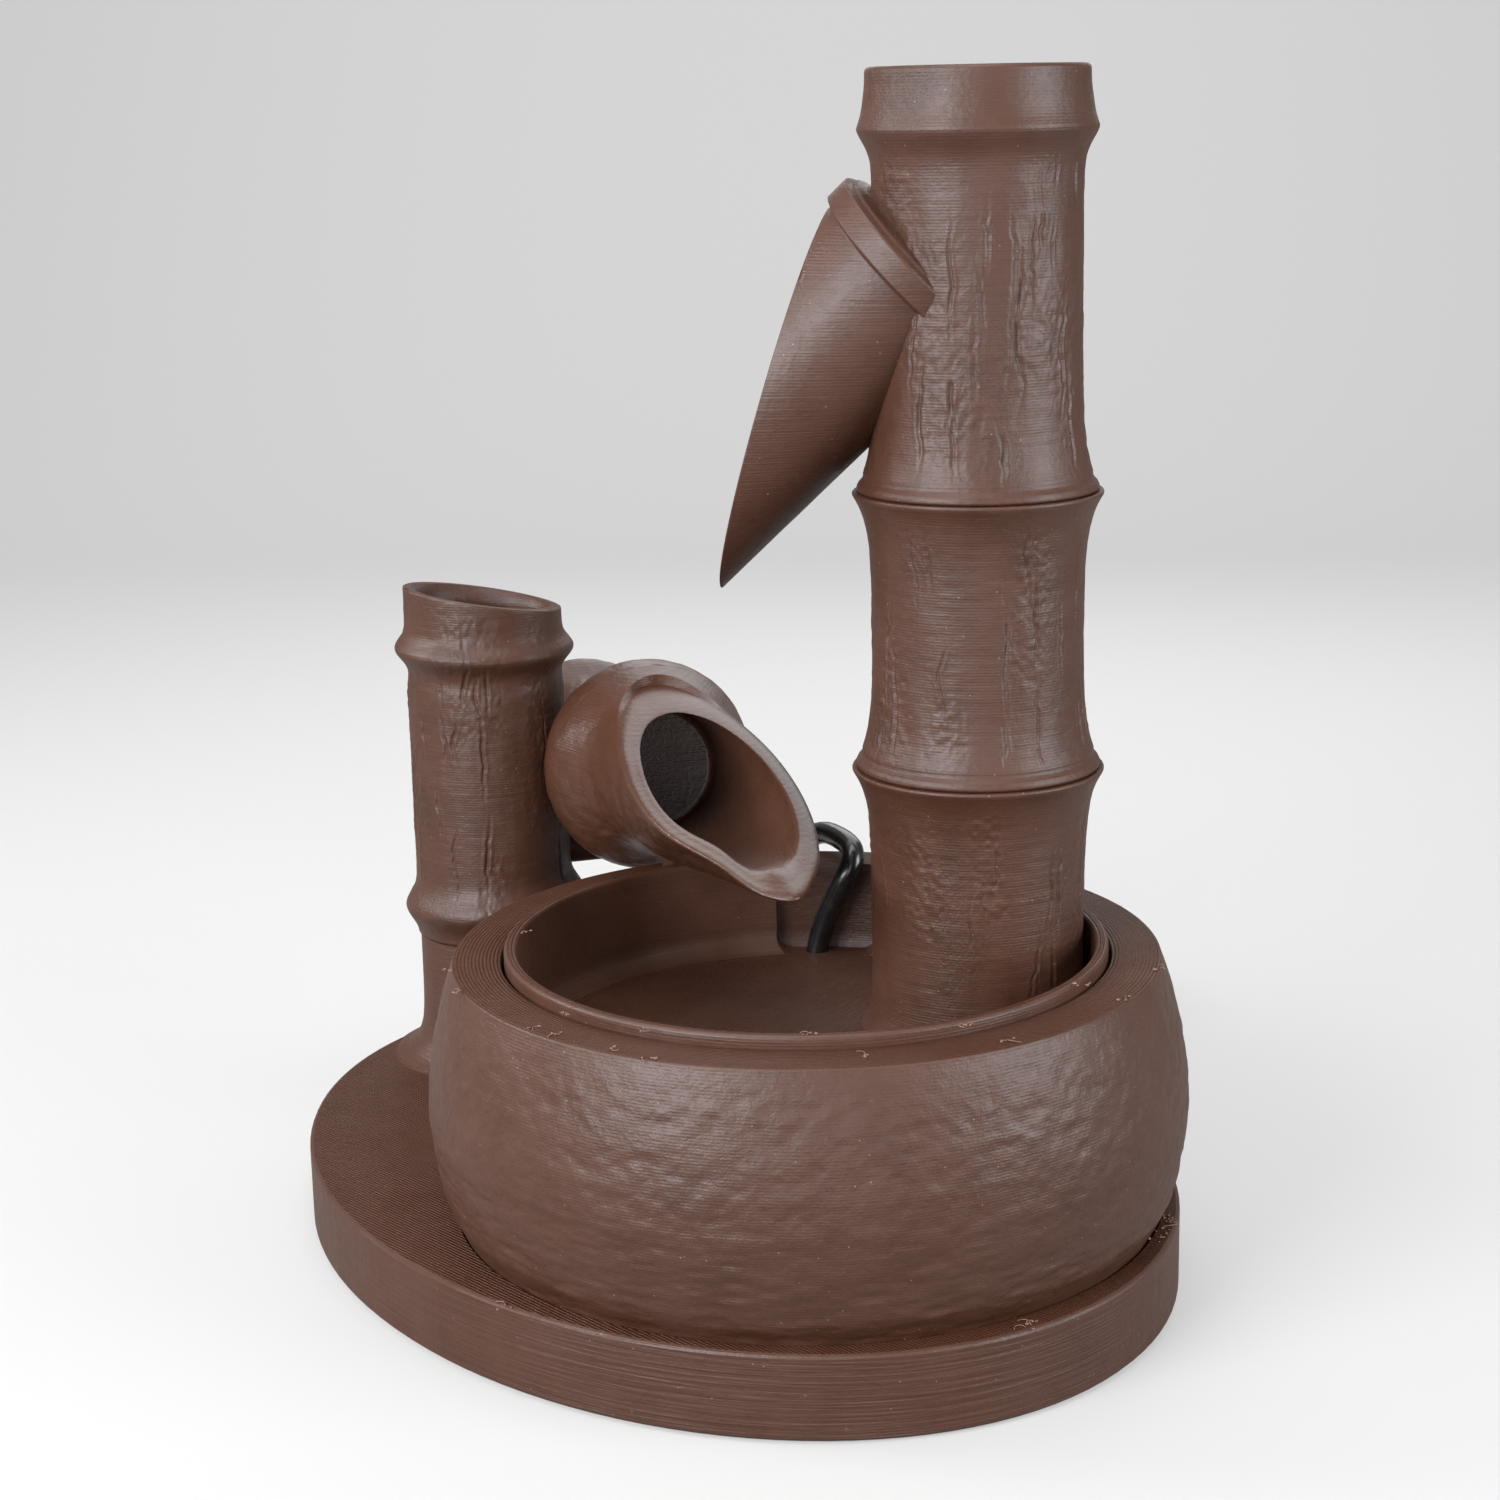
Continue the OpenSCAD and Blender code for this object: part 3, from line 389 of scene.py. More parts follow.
def rings_of(radius, z, columns, wobble=None, place=(0, 0)):
    """Rows of a turned surface: a circle of each radius at each height, with a radial offset added."""
    u = np.arange(columns) / columns
    uu, zz = np.meshgrid(u, z)
    rr = np.broadcast_to(np.asarray(radius)[:, None], uu.shape).copy()
    if wobble is not None:
        rr = rr + wobble(uu, zz, rr)
    return np.stack([place[0] + rr * np.cos(TURN * uu), place[1] + rr * np.sin(TURN * uu), zz], -1), zz


# %% [markdown]
# ## Column
# The column is three turned sections that stand on each other. Each flares into a thin lip where it meets
# the next, and the top one has a ring below its open end. The wall goes up outside, over the edge and
# down inside.

# %% Column sections
COLUMN = (28.0, 7.0)
BORE = 13.6
SEAM_LIP, SEAM_FADE = 3.4, 4.4
LOW_SEAM, HIGH_SEAM, COLUMN_TOP = 83.4, 127.6, 192.0
TRAY_FLOOR = 39.7
FOOT_R, MIDDLE_R, TOP_R = 17.1, 16.7, 16.2
COLUMNS, SECTION_ROWS, BORE_ROWS = 480, 160, 8
LOW_ROUND, HIGH_ROUND = 1.3, 0.8
SECTION_CRACKS, SKIN_IN, EDGE_IN = 34, 0.02, 0.1


def edged(z0, z1):
    """Heights from z0 to z1, close together at both ends, where edges are rounded."""
    near = np.array([0.01, 0.04, 0.1, 0.2, 0.35, 0.6])
    middle = np.linspace(z0 + LOW_ROUND, z1 - HIGH_ROUND, SECTION_ROWS)
    return np.concatenate([z0 + LOW_ROUND * near, middle, z1 - HIGH_ROUND * near[::-1]])


def rounded(radius, z, z0, z1, low=LOW_ROUND, high=HIGH_ROUND):
    """Rounds both ends of a wall: the radius falls by e minus the root of e squared minus (e - d) squared."""
    out = radius.copy()
    for d, e in ((z - z0, low), (z1 - z, high)):
        if e:
            out -= e - np.sqrt(np.clip(e ** 2 - np.clip(e - d, 0, e) ** 2, 0, None))
    return out


def with_bore(outer, heights, low, high):
    """A hollow stem: the outer wall, then the bore from its upper edge back down to its foot."""
    inner_z = np.linspace(high - EDGE_IN, low, BORE_ROWS)
    inner, inner_h = rings_of(np.full(BORE_ROWS, BORE), inner_z, COLUMNS, None, COLUMN)
    return np.concatenate([outer, inner]), np.concatenate([heights, inner_h]), True, ()


def section(low, high, waist, seed, flare_high=SEAM_LIP, ring=0.0, ring_at=0.0, marks=()):
    """A hollow section: outer wall with lips and an optional ring, then the inner wall back down."""
    z = edged(low, high)
    r = waist + SEAM_LIP * fade(z - low, SEAM_FADE) + flare_high * fade(high - z, SEAM_FADE)
    far = np.abs(z - ring_at)
    crest = np.where(z > ring_at, np.exp(-(far / 3.3) ** 1.25), np.exp(-(far / 3.0) ** 1.7))
    r = r + ring * crest + 0.7 * (ring > 0) * ease((z - ring_at + 1) / 6)
    r = rounded(r - 0.32 * bulge(z - low - 2.1, 0.55), z, low, high)
    calm = ease((z - low - 1.5) / 5) * ease((high - z - 1.5) / 5)

    def wobble(u, zz, rr):
        away = np.interp(zz, z, calm) * (1 - 0.8 * bulge(zz - ring_at, 5) * (ring > 0))
        skin = bark(u, zz, TURN * waist, seed, SECTION_CRACKS, (low + 6, high - 8), marks=marks)
        return skin * away - SKIN_IN

    outer, heights = rings_of(r, z, COLUMNS, wobble, COLUMN)
    return with_bore(outer, heights, low, high)


def turned(profile, columns, place=(0, 0), wobble=None, joined=True):
    """A turned ring from a list of (radius, height), closed back to its first row."""
    profile = np.array(profile, float)
    grid, heights = rings_of(profile[:, 0], profile[:, 1], columns, wobble, place)
    return grid, heights, joined, () if joined else (0, -1)


# %% [markdown]
# The middle section is such a section with a spigot, the thin ring under it that seats in the bore below.

# %% Middle section
SPIGOT_R, SPIGOT_BORE, SPIGOT_COLUMNS = 13.3, 11.4, 96


def plain_ring(outside, bore, low, high):
    """A plain ring about the column's axis."""
    return turned([(outside, low), (outside, high), (bore, high), (bore, low)], SPIGOT_COLUMNS, COLUMN)


def spigot(seam):
    """The ring that hangs 6 mm below a seam and reaches 1 mm into the section above it."""
    return plain_ring(SPIGOT_R, SPIGOT_BORE, seam - 6, seam + 1)


make_piece("column_middle_bark", [section(LOW_SEAM, HIGH_SEAM, MIDDLE_R, 21), spigot(LOW_SEAM)],
           "column_middle", "middle_section", bark_print)

# %% [markdown]
# ## Spout
# The spout is a tube that leans out of the top section and ends in a long slanting cut, like a sliced
# bamboo shoot. Every line along it runs from inside the column to the plane of the cut, so the cut needs
# no boolean. A flat band wraps its root, and the root itself is sunk behind the band.

# %% Spout
SPOUT_Z, SPOUT_DROP, SPOUT_DIR = COLUMN_TOP - 20.4, math.radians(43.5), math.radians(170)
SPOUT_R, SPOUT_BORE, SPOUT_LEN, SPOUT_CUT = 15.4, 12.8, 44.2, math.radians(17)
BAND_HIGH, BAND_FROM, BAND_TO, NECK_DEEP, CUT_ROUND = 1.35, 11.0, 15.6, 3.0, 0.25


def spout_point(length, radius, turn):
    """A point at a distance along the spout's axis, a radius and a turn about it (0 is its upper side)."""
    up, side = radius * np.cos(turn), radius * np.sin(turn)
    out = length * math.cos(SPOUT_DROP) + up * math.sin(SPOUT_DROP)
    z = SPOUT_Z - length * math.sin(SPOUT_DROP) + up * math.cos(SPOUT_DROP)
    x = COLUMN[0] + out * math.cos(SPOUT_DIR) - side * math.sin(SPOUT_DIR)
    y = COLUMN[1] + out * math.sin(SPOUT_DIR) + side * math.cos(SPOUT_DIR)
    return np.stack([x, y, z + 0 * x], -1)


def spout_end(radius, turn):
    """Distance along the spout where a line at that radius and turn meets the slanting plane of the cut."""
    c, s, k = math.cos(SPOUT_DROP), math.sin(SPOUT_DROP), math.tan(SPOUT_CUT)
    return SPOUT_LEN - radius * np.cos(turn) * (s + c * k) / (c - s * k)


def spout_grid():
    """Outer wall with the band at its root, rounded edge, and inner wall back into the column."""
    turn = TURN * np.arange(COLUMNS) / COLUMNS
    reach = np.concatenate([np.linspace(4, 10.4, 5), np.linspace(10.6, 18.6, 44), np.linspace(19, 26, 6)])
    band = BAND_HIGH * (ease(reach - BAND_FROM) - ease((reach - BAND_TO) / 0.6))
    neck = -NECK_DEEP * (1 - ease(reach - 10.0))
    end = spout_end(SPOUT_R, turn)
    rows = [spout_point(np.minimum(length, end - 0.3), SPOUT_R + high, turn)
            for length, high in zip(reach, band + neck)]
    for s in np.linspace(0, 1, 110)[1:]:
        length = along(np.minimum(reach[-1], end - 0.3), end - CUT_ROUND, s)
        rough = 0.03 * noise(turn / TURN, np.full(COLUMNS, 60 * s), 40, 6.0, 31)
        rows.append(spout_point(length, SPOUT_R + rough * min(1, 4 * (1 - s)), turn))
    for radius in (SPOUT_R - CUT_ROUND, along(SPOUT_R, SPOUT_BORE, 0.5), SPOUT_BORE + CUT_ROUND):
        rows.append(spout_point(spout_end(radius, turn), radius, turn))
    for s in np.linspace(0, 1, 16):
        length = along(spout_end(SPOUT_BORE, turn) - CUT_ROUND, np.full(COLUMNS, 8.0), s)
        rows.append(spout_point(length, SPOUT_BORE, turn))
    grid = np.stack(rows)
    return grid, grid[..., 2], True, ()


# %% [markdown]
# The top section has four cracks that the photo shows, and a guide inside: a disc with a hole that keeps
# the hose in the middle. The spout is a piece of its own that rides with the section.

# %% Top section
# A crack: share of the turn, height, half its length.
TOP_CRACKS = ((0.803, 153, 7), (0.70, 143, 4), (0.775, 134, 5), (0.655, 140, 6))
RING_HIGH, RING_DROP, TOP_LIP = 2.2, 9.2, 0.2
hose_guide = plain_ring(BORE + 0.4, 6, 138.7, 141)
top_wall = section(HIGH_SEAM, COLUMN_TOP, TOP_R, 45, flare_high=TOP_LIP, ring=RING_HIGH,
                   ring_at=COLUMN_TOP - RING_DROP, marks=TOP_CRACKS)
make_piece("column_top_bark", [top_wall, spigot(HIGH_SEAM), hose_guide],
           "column_top", "top_section", bark_print)
make_piece("spout_bark", [spout_grid()], None, "top_section", smooth_print)

# %% [markdown]
# ## Tray
# The tray is a shallow dish that sits in the bowl. Its wall is missing over a short stretch at the back,
# where the cable leaves: there every row of the wall is pressed down to the floor. The grid's columns
# stand close together at both sides of that notch, so that its round corners stay crisp.

# %% Tray
TRAY_R, TRAY_WALL, LIP_TOP, TRAY_LOW = 48.25, 2.0, 57.2, 37.3
NOTCH_X, NOTCH_W, NOTCH_ROUND = 3.4, 18.0, 3.0
LIP_ROUND, FLOOR_ROUND = 0.7, 4


def tray_profile(inner):
    """Outer wall, lip, inner wall, fillet, floor and underside, as rows of (radius, height)."""
    profile = [(38, TRAY_LOW), (TRAY_R - 0.4, TRAY_LOW), (TRAY_R, TRAY_LOW + 0.4)]
    profile += [(TRAY_R, z) for z in np.linspace(TRAY_LOW + 1, LIP_TOP - 0.9, 10)]
    bend = np.radians(np.arange(15, 90, 15))
    lip = [(LIP_ROUND * (1 - math.cos(a)), LIP_TOP - LIP_ROUND * (1 - math.sin(a))) for a in bend]
    profile += [(TRAY_R - x, z) for x, z in lip] + [(inner + x, z) for x, z in lip[::-1]]
    profile += [(inner, z) for z in np.linspace(LIP_TOP - 0.9, TRAY_FLOOR + 4.2, 12)]
    profile += [(inner - FLOOR_ROUND * (1 - math.cos(a)), TRAY_FLOOR + FLOOR_ROUND * (1 - math.sin(a)))
                for a in np.radians(np.arange(0, 91, 10))]
    profile += [(r, TRAY_FLOOR) for r in np.linspace(41, 1, 24)]
    return np.array(profile + [(1, TRAY_LOW), (20, TRAY_LOW)])


def tray_dish():
    """The turned dish, its wall cut down at the notch to a straight edge with two quarter rounds."""
    inner = TRAY_R - TRAY_WALL
    profile = tray_profile(inner)
    sides = [math.acos((NOTCH_X + k * NOTCH_W / 2) / TRAY_R) / TURN for k in (1, -1)]
    close = [np.linspace(q - 0.012, q + 0.012, 70) for q in sides]
    u = np.sort(np.concatenate([np.arange(360) / 360] + close))
    uu, zz = np.meshgrid(u, profile[:, 1])
    rr = np.broadcast_to(profile[:, :1], uu.shape)
    x, y = rr * np.cos(TURN * uu), rr * np.sin(TURN * uu)
    off = np.abs(x - NOTCH_X) - (NOTCH_W / 2 - NOTCH_ROUND)
    corner = np.clip(off / NOTCH_ROUND, 0, 1)
    allowed = TRAY_FLOOR + 0.05 + NOTCH_ROUND * (1 - np.sqrt(np.clip(1 - corner ** 2, 0, 1)))
    inside = (off < NOTCH_ROUND) & (y > 0) & (rr > 40)
    zz = np.where(inside, np.minimum(zz, allowed), zz)
    flat = (profile[:, 1] > TRAY_FLOOR - 0.01) & (profile[:, 0] < inner - 1)
    zz = zz + 0.03 * noise(uu, rr, 120, 1.3, 77) * flat[:, None]
    return np.stack([x, y, zz], -1), zz, True, ()


make_piece("tray_dish", [tray_dish()], "tray", "base", smooth_print)

# %% [markdown]
# The foot of the column is one with the tray. It is a mesh of its own, because only the foot has bark.

# %% Foot of the column
FOOT_LOW, FOOT_SPREAD, FOOT_CRACKS, FOOT_DEPTH = TRAY_LOW + 0.5, 2.0, 30, 0.3


def column_foot():
    """The lower section: a soft fillet at the floor, a slim waist and a lip under the seam."""
    z = edged(FOOT_LOW, LOW_SEAM)
    spread = FOOT_SPREAD * fade(np.maximum(z - TRAY_FLOOR, 0), 2.2)
    r = FOOT_R + SEAM_LIP * fade(LOW_SEAM - z, SEAM_FADE) + spread
    r = rounded(r, z, TRAY_LOW, LOW_SEAM, 0)

    def wobble(u, zz, rr):
        away = ease((zz - TRAY_FLOOR - 3) / 5) * ease((LOW_SEAM - zz - 1.5) / 5)
        reach = (TRAY_FLOOR + 8, LOW_SEAM - 8)
        return bark(u, zz, TURN * FOOT_R, 63, FOOT_CRACKS, reach, FOOT_DEPTH) * away - SKIN_IN

    outer, heights = rings_of(r, z, COLUMNS, wobble, COLUMN)
    return with_bore(outer, heights, FOOT_LOW, LOW_SEAM)


make_piece("column_foot_bark", [column_foot()], None, "base", bark_print)

# %% [markdown]
# ## Bowl
# The bowl is printed with a hammered stone skin: small dents near the rim that stretch into level streaks
# lower down. Two noises of different shape are blended by height and pushed into the turned surface.

# %% Bowl
RIM_Z, RECESS_Z, BELLY_Z = 55.3, 9.6, 31.08
LOWER = [(0, 57), (0.18, 57), (0.26, 57.9), (0.36, 59.1), (0.53, 60), (0.76, 60.83), (1, 61.3)]
UPPER = [(0.24, 61.02), (0.49, 60.1), (0.74, 58.6), (0.9, 57.4), (1, 56.5)]
BOWL_COLUMNS, BOWL_BORE, LEDGE_R = 640, 48.75, 43
CHAMBER_TOP, CHAMBER_WIDE_AT, CHAMBER_R, CHAMBER_LOW = 34.9, 25.9, 52, 12.2


def bowl_wall(z):
    """Radius of the outer wall at a height, on a smooth curve through the measured places."""
    heights = [along(RECESS_Z, BELLY_Z, s) for s, _ in LOWER] + [along(BELLY_Z, RIM_Z, s) for s, _ in UPPER]
    fine = np.linspace(RECESS_Z, RIM_Z, 400)
    r = np.interp(fine, heights, [r for _, r in LOWER + UPPER])
    kernel = np.hanning(23)
    r = np.convolve(np.pad(r, 11, "edge"), kernel / kernel.sum(), "valid")
    return np.interp(z, fine, r)


def stone(u, z):
    """Hammered stone: dents of about 2 mm above, level streaks below, blended by height."""
    v = z + 0.5 * noise(u, z, 30, 6.0, 4)
    dents = 0.08 * noise(u, v, 130, 2.6, 5) + 0.12 * noise(u, v, 200, 1.6, 6)
    dents = dents + 0.05 * noise(u, v, 320, 1.0, 3)
    streaks = 0.17 * noise(u, v, 80, 1.3, 7) + 0.12 * noise(u, v, 140, 0.8, 8)
    broad = 0.06 * noise(u, z, 60, 5.0, 9)
    return along(streaks, dents, ease((z - 20 + 4 * noise(u, z, 12, 30, 2)) / 16)) + broad


def bowl_grid():
    """Outer wall, rounded rim edge, flat rim and bore, down to the floor of the pump's chamber."""
    shoulder = RIM_Z - 0.9
    turn_in = shoulder + 0.6 * np.sin(np.linspace(0.3, 1.57, 4))
    z = np.concatenate([np.linspace(RECESS_Z, shoulder, 128), turn_in])
    edge = bowl_wall(RIM_Z)
    profile = list(zip(bowl_wall(z), z)) + [(edge - 0.1, RIM_Z - 0.1), (edge - 0.5, RIM_Z)]
    profile += [(x, RIM_Z) for x in np.linspace(55.6, 49.2, 5)]
    profile += [(BOWL_BORE + 0.1, RIM_Z - 0.1), (BOWL_BORE, RIM_Z - 0.4)]
    profile += [(BOWL_BORE, y) for y in np.linspace(RIM_Z - 2, TRAY_LOW, 4)]
    profile += [(LEDGE_R, TRAY_LOW), (LEDGE_R, CHAMBER_TOP)]
    profile += [(CHAMBER_R, CHAMBER_WIDE_AT), (CHAMBER_R, CHAMBER_LOW)]
    profile += [(x, CHAMBER_LOW) for x in np.linspace(50, 1, 4)] + [(1, RECESS_Z), (30, RECESS_Z)]

    def wobble(u, zz, rr):
        wall = (rr > 56) & (zz > RECESS_Z + 1)
        calm = ease((zz - RECESS_Z - 1) / 4) * ease((RIM_Z - 0.6 - zz) / 5)
        return np.where(wall, np.minimum(stone(u, zz) * calm - 0.08, -0.01), 0)

    return turned(profile, BOWL_COLUMNS, (0, 0), wobble)


make_piece("bowl_stone", [bowl_grid()], "bowl", "base", stone_print)

# %% [markdown]
# ## Post
# The post is a hollow bamboo stump on the base's foot. Its top is cut on a slant, so each line up the
# wall ends at the height of the cut there. A short boss carries the steel pin, and a bar at the back is
# the stop that the tube's waist reaches. These two are written along the tube, so one function turns such
# a place into the object's frame.

# %% Post
POST = (-58.8, 71.0)
POST_R, POST_WALL, POST_SEAM, POST_TOP = 14.5, 2.1, 37.2, 100.3
POST_SLOPE, POST_PITCH = math.tan(math.radians(9.2)), math.tan(math.radians(4))
UPPER_NODE, LOWER_NODE, POST_FLOOR = 91.0, 43.4, 78
TUBE_YAW = math.radians(18.5 - 90)
LIFT, SWING = math.radians(7.8), math.radians(11)
AXLE_ARM, AXLE_Z = 26, 67.8
PIVOT = np.array([POST[0] - AXLE_ARM * math.sin(TUBE_YAW), POST[1] + AXLE_ARM * math.cos(TUBE_YAW), AXLE_Z])
BOSS_ROWS = ((4.5, -13), (4.5, -10.6), (4.3, -10.4))
STOP_X, STOP_Z, STOP_R = -10, -15.4, 3
STOP_ROWS = ((-20, 0.9), (-19, 1), (2, 1), (3, 0.85))


def post_wall(radius, height, turn):
    """Points about the post's axis."""
    return np.stack([POST[0] + radius * np.cos(turn), POST[1] + radius * np.sin(turn), height], -1)


def post_grid():
    """Outer wall with two leaning node rings, slanted edge, and the inner wall down to the node."""
    s = np.concatenate([[0, 0.002, 0.006], np.linspace(0.012, 0.993, 180), [0.998, 1.0]])
    u = np.arange(COLUMNS) / COLUMNS
    uu, ss = np.meshgrid(u, s)
    lean = np.cos(TURN * uu) * POST_R
    cut = POST_TOP - POST_SLOPE * lean - POST_PITCH * np.sin(TURN * uu) * POST_R
    zz = along(POST_SEAM, cut, ss)
    upper = bulge(zz - UPPER_NODE + 0.02 * lean, 2.2) * 2.0 - 0.3 * bulge(zz - 86.6 + 0.02 * lean, 2.2)
    lower = bulge(zz - LOWER_NODE - 0.06 * lean, 3.0) * 2.2
    rr = POST_R - 0.15 + upper + lower - 0.5 * bulge(ss, 0.003) - 0.4 * bulge(1 - ss, 0.0015)
    calm = ease((zz - POST_SEAM - 1) / 4) * ease((cut - zz - 0.6) / 3)
    calm = calm * (1 - 0.6 * bulge(zz - UPPER_NODE, 2.5))
    rr = rr + bark(uu, zz, TURN * POST_R, 88, 34, (46, 96), 0.42) * calm
    inner_r = POST_R - POST_WALL
    ui, ti = np.meshgrid(u, np.linspace(1, 0, 8))
    edge = POST_TOP - (POST_SLOPE * np.cos(TURN * ui) + POST_PITCH * np.sin(TURN * ui)) * inner_r
    zi = along(POST_FLOOR, edge - EDGE_IN, ti)
    walls = [post_wall(rr, zz, TURN * uu), post_wall(inner_r, zi, TURN * ui)]
    return np.concatenate(walls), np.concatenate([zz, zi]), False, (0, -1)


def swing_point(x, y, z, lift):
    """A point in the tube's frame: x along it, y along the axle, z up, turned about the pivot by its lift."""
    a = x * math.cos(lift) - z * math.sin(lift)
    h = x * math.sin(lift) + z * math.cos(lift)
    px = PIVOT[0] + a * math.cos(TUBE_YAW) - y * math.sin(TUBE_YAW)
    py = PIVOT[1] + a * math.sin(TUBE_YAW) + y * math.cos(TUBE_YAW)
    return np.stack([px, py, PIVOT[2] + h + 0 * a], -1)


def capped(rows):
    """A grid of these rows with a cap at both ends; its print lines follow plain z."""
    grid = np.stack(rows)
    return grid, grid[..., 2], False, (0, -1)


def axle_boss():
    """The round boss between the post and the tube that carries the pin: circles across the axle's line."""
    turn = TURN * np.arange(64) / 64
    return capped([swing_point(r * np.cos(turn), y + 0 * turn, r * np.sin(turn), 0.0) for r, y in BOSS_ROWS])


def stop_block():
    """The stop that the tube's waist reaches at the top of its swing: a rounded bar from the post's back."""
    turn = TURN * np.arange(32) / 32
    across, up = STOP_R * np.cos(turn), STOP_R * np.sin(turn)
    return capped([swing_point(STOP_X + across * k, y + 0 * turn, STOP_Z + up * k, LIFT + SWING)
                   for y, k in STOP_ROWS])


make_piece("post_bark", [post_grid(), axle_boss(), stop_block()], "post", "base", bark_print)
print("pivot, mm:", PIVOT.round(2))

# %% [markdown]
# ## Tipping tube
# The tube swings on the axle. Its outside is turned, with a waist at the pivot and a fat ring before it;
# the mouth is a long slanting cut. As on the spout, each line ends at the plane of the cut, then turns
# over a broad rim. The rim is flat on one side and rolls over on the other, and the lip is drawn out to a
# narrow, thick point.

# %% Tipping tube
TUBE_R, TUBE_BORE, WAIST_R = 14.1, 10.9, 10.9
RING_AT, RING_R, TAIL_AT, TAIL_RING_R, TAIL_END = 16.6, 19.2, 33.0, 16.6, 37.5
MOUTH_AT, MOUTH_ANGLE, END_WALL, END_ROUND = 63.5, math.radians(23), 22.0, 1.2
# Each row of the rim is a share of the way inwards and how deep it is sunk.
RIM_ROWS = [(0.02, 0.72), (0.07, 0.4), (0.15, 0.14), (0.26, 0.0), (0.42, 0.04), (0.55, 0.1), (0.68, 0.04),
            (0.8, 0.0), (0.9, 0.1), (0.97, 0.3), (1.0, 0.6)]
EDGE_SLIP, TIP_OUT, TIP_THICK, ROLL_R = 0.9 / math.sin(MOUTH_ANGLE), 3.1, 0.7, 2.0
PIN_NEAR, PIN_FLAT = 5.9, 8.85


def tube_radius(x):
    """Outside radius at a place in front of the pivot, as in the source of the solids."""
    tail = WAIST_R + 1.8 * (x / TAIL_AT) ** 2 + (TAIL_RING_R - WAIST_R - 1.8) * bulge(x + TAIL_AT, 5.0)
    waist = WAIST_R + (RING_R - WAIST_R) * bulge(x - RING_AT, 5.76)
    front = TUBE_R + (RING_R - TUBE_R) * bulge(x - RING_AT, 11.0) + 0.3 * np.clip((x - 45) / 40, 0, 1)
    return np.where(x < 0, tail, np.where(x < RING_AT, waist, front))


def mouth_place(radius, turn):
    """Where a line at that radius and turn (0 is the upper side) meets the plane of the mouth."""
    return MOUTH_AT - radius * np.cos(turn) / math.tan(MOUTH_ANGLE)


def tube_grid():
    """Tail, waist, ring and trough outside, the rim, and the trough inside with its rounded end wall."""
    turn = TURN * np.arange(400) / 400
    roll = ease(0.5 + 0.5 * np.cos(turn - 0.9))
    tip = bulge(turn - math.pi + 0.13, 0.22)
    rows = []

    def row(x, radius):
        """One ring: pinched beside the lip, and flat where the washer and the cap meet it."""
        x = x + 0 * turn
        pinch = 1 - 0.17 * bulge(turn - math.pi - 0.72, 0.45) * ease((x - 48) / 34)
        y, z = radius * pinch * np.sin(turn), radius * pinch * np.cos(turn)
        y = np.where(np.hypot(x, z) < PIN_NEAR, np.clip(y, -PIN_FLAT, PIN_FLAT), y)
        rows.append(swing_point(x, y, z, LIFT))

    for x, radius in ((-TAIL_END + 2.4, 3.0), (-TAIL_END + 2.4, 10.65), (-TAIL_END, 10.7), (-TAIL_END, 13.0)):
        row(x, radius)
    fixed = np.concatenate([[-TAIL_END + 0.15, -TAIL_END + 0.5], np.linspace(-36.5, 21.5, 84)])
    for x in fixed:
        rough = 0.10 * noise(turn / TURN, x + 0 * turn, 60, 2.6, 91) * ease((x + 36) / 3)
        row(x, tube_radius(np.array(x)) + rough - (0.4 if x < -TAIL_END + 0.2 else 0))
    end = mouth_place(TUBE_R, turn) - EDGE_SLIP * (1 + 1.3 * roll) + TIP_OUT * tip
    for s in np.linspace(0, 1, 110)[1:]:
        x = along(fixed[-1], end, s)
        wrinkle = 0.16 * noise(turn / TURN, x, 34, 3.4, 92) + 0.10 * noise(turn / TURN, x, 70, 1.8, 93)
        under = ease(-np.cos(turn) + 0.4)
        row(x, tube_radius(x) + wrinkle * (0.35 + 0.65 * under) * ease((end - x) / 3))
    outer = tube_radius(mouth_place(TUBE_R, turn))
    inner = TUBE_BORE - TIP_THICK * tip
    uneven = 0.14 * noise(turn / TURN, 0 * turn, 26, 9.0, 94)
    for share, sunk in RIM_ROWS:
        radius = along(outer, inner, share)
        rolled = along(sunk - uneven, ROLL_R * (1 - math.sqrt(1 - (1 - share) ** 2)), roll)
        row(mouth_place(radius, turn) - rolled / math.sin(MOUTH_ANGLE) + TIP_OUT * tip, radius)
    for s in np.linspace(0, 1, 36)[1:]:
        radius = along(TUBE_BORE, inner, fade(s, 0.08))
        row(along(mouth_place(inner, turn) - 1.6, END_WALL + END_ROUND, s), radius)
    for a in np.radians([25, 50, 75, 90]):
        row(END_WALL + END_ROUND * (1 - math.sin(a)), TUBE_BORE - END_ROUND * (1 - math.cos(a)))
    row(END_WALL, 4.0)
    return capped(rows)


def rest_pad():
    """The low pad under the tube that comes down on the bowl's rim."""
    ahead = 34
    at = (PIVOT[0] + ahead * math.cos(TUBE_YAW), PIVOT[1] + ahead * math.sin(TUBE_YAW))
    return turned([(2.1, RIM_Z), (2.4, RIM_Z + 0.3), (2.4, RIM_Z + 4.8)], 48, at, None, False)


make_piece("tube_bark", [tube_grid(), rest_pad()], "tipping_tube", "tube", gloss_print)

# %% [markdown]
# ## The other materials
# Steel, hose, foam and black plastic hide inside and behind, but the sections lift off and show them, so
# each has a finish of its own. The record says which slot a solid has, and a loop hands them out.

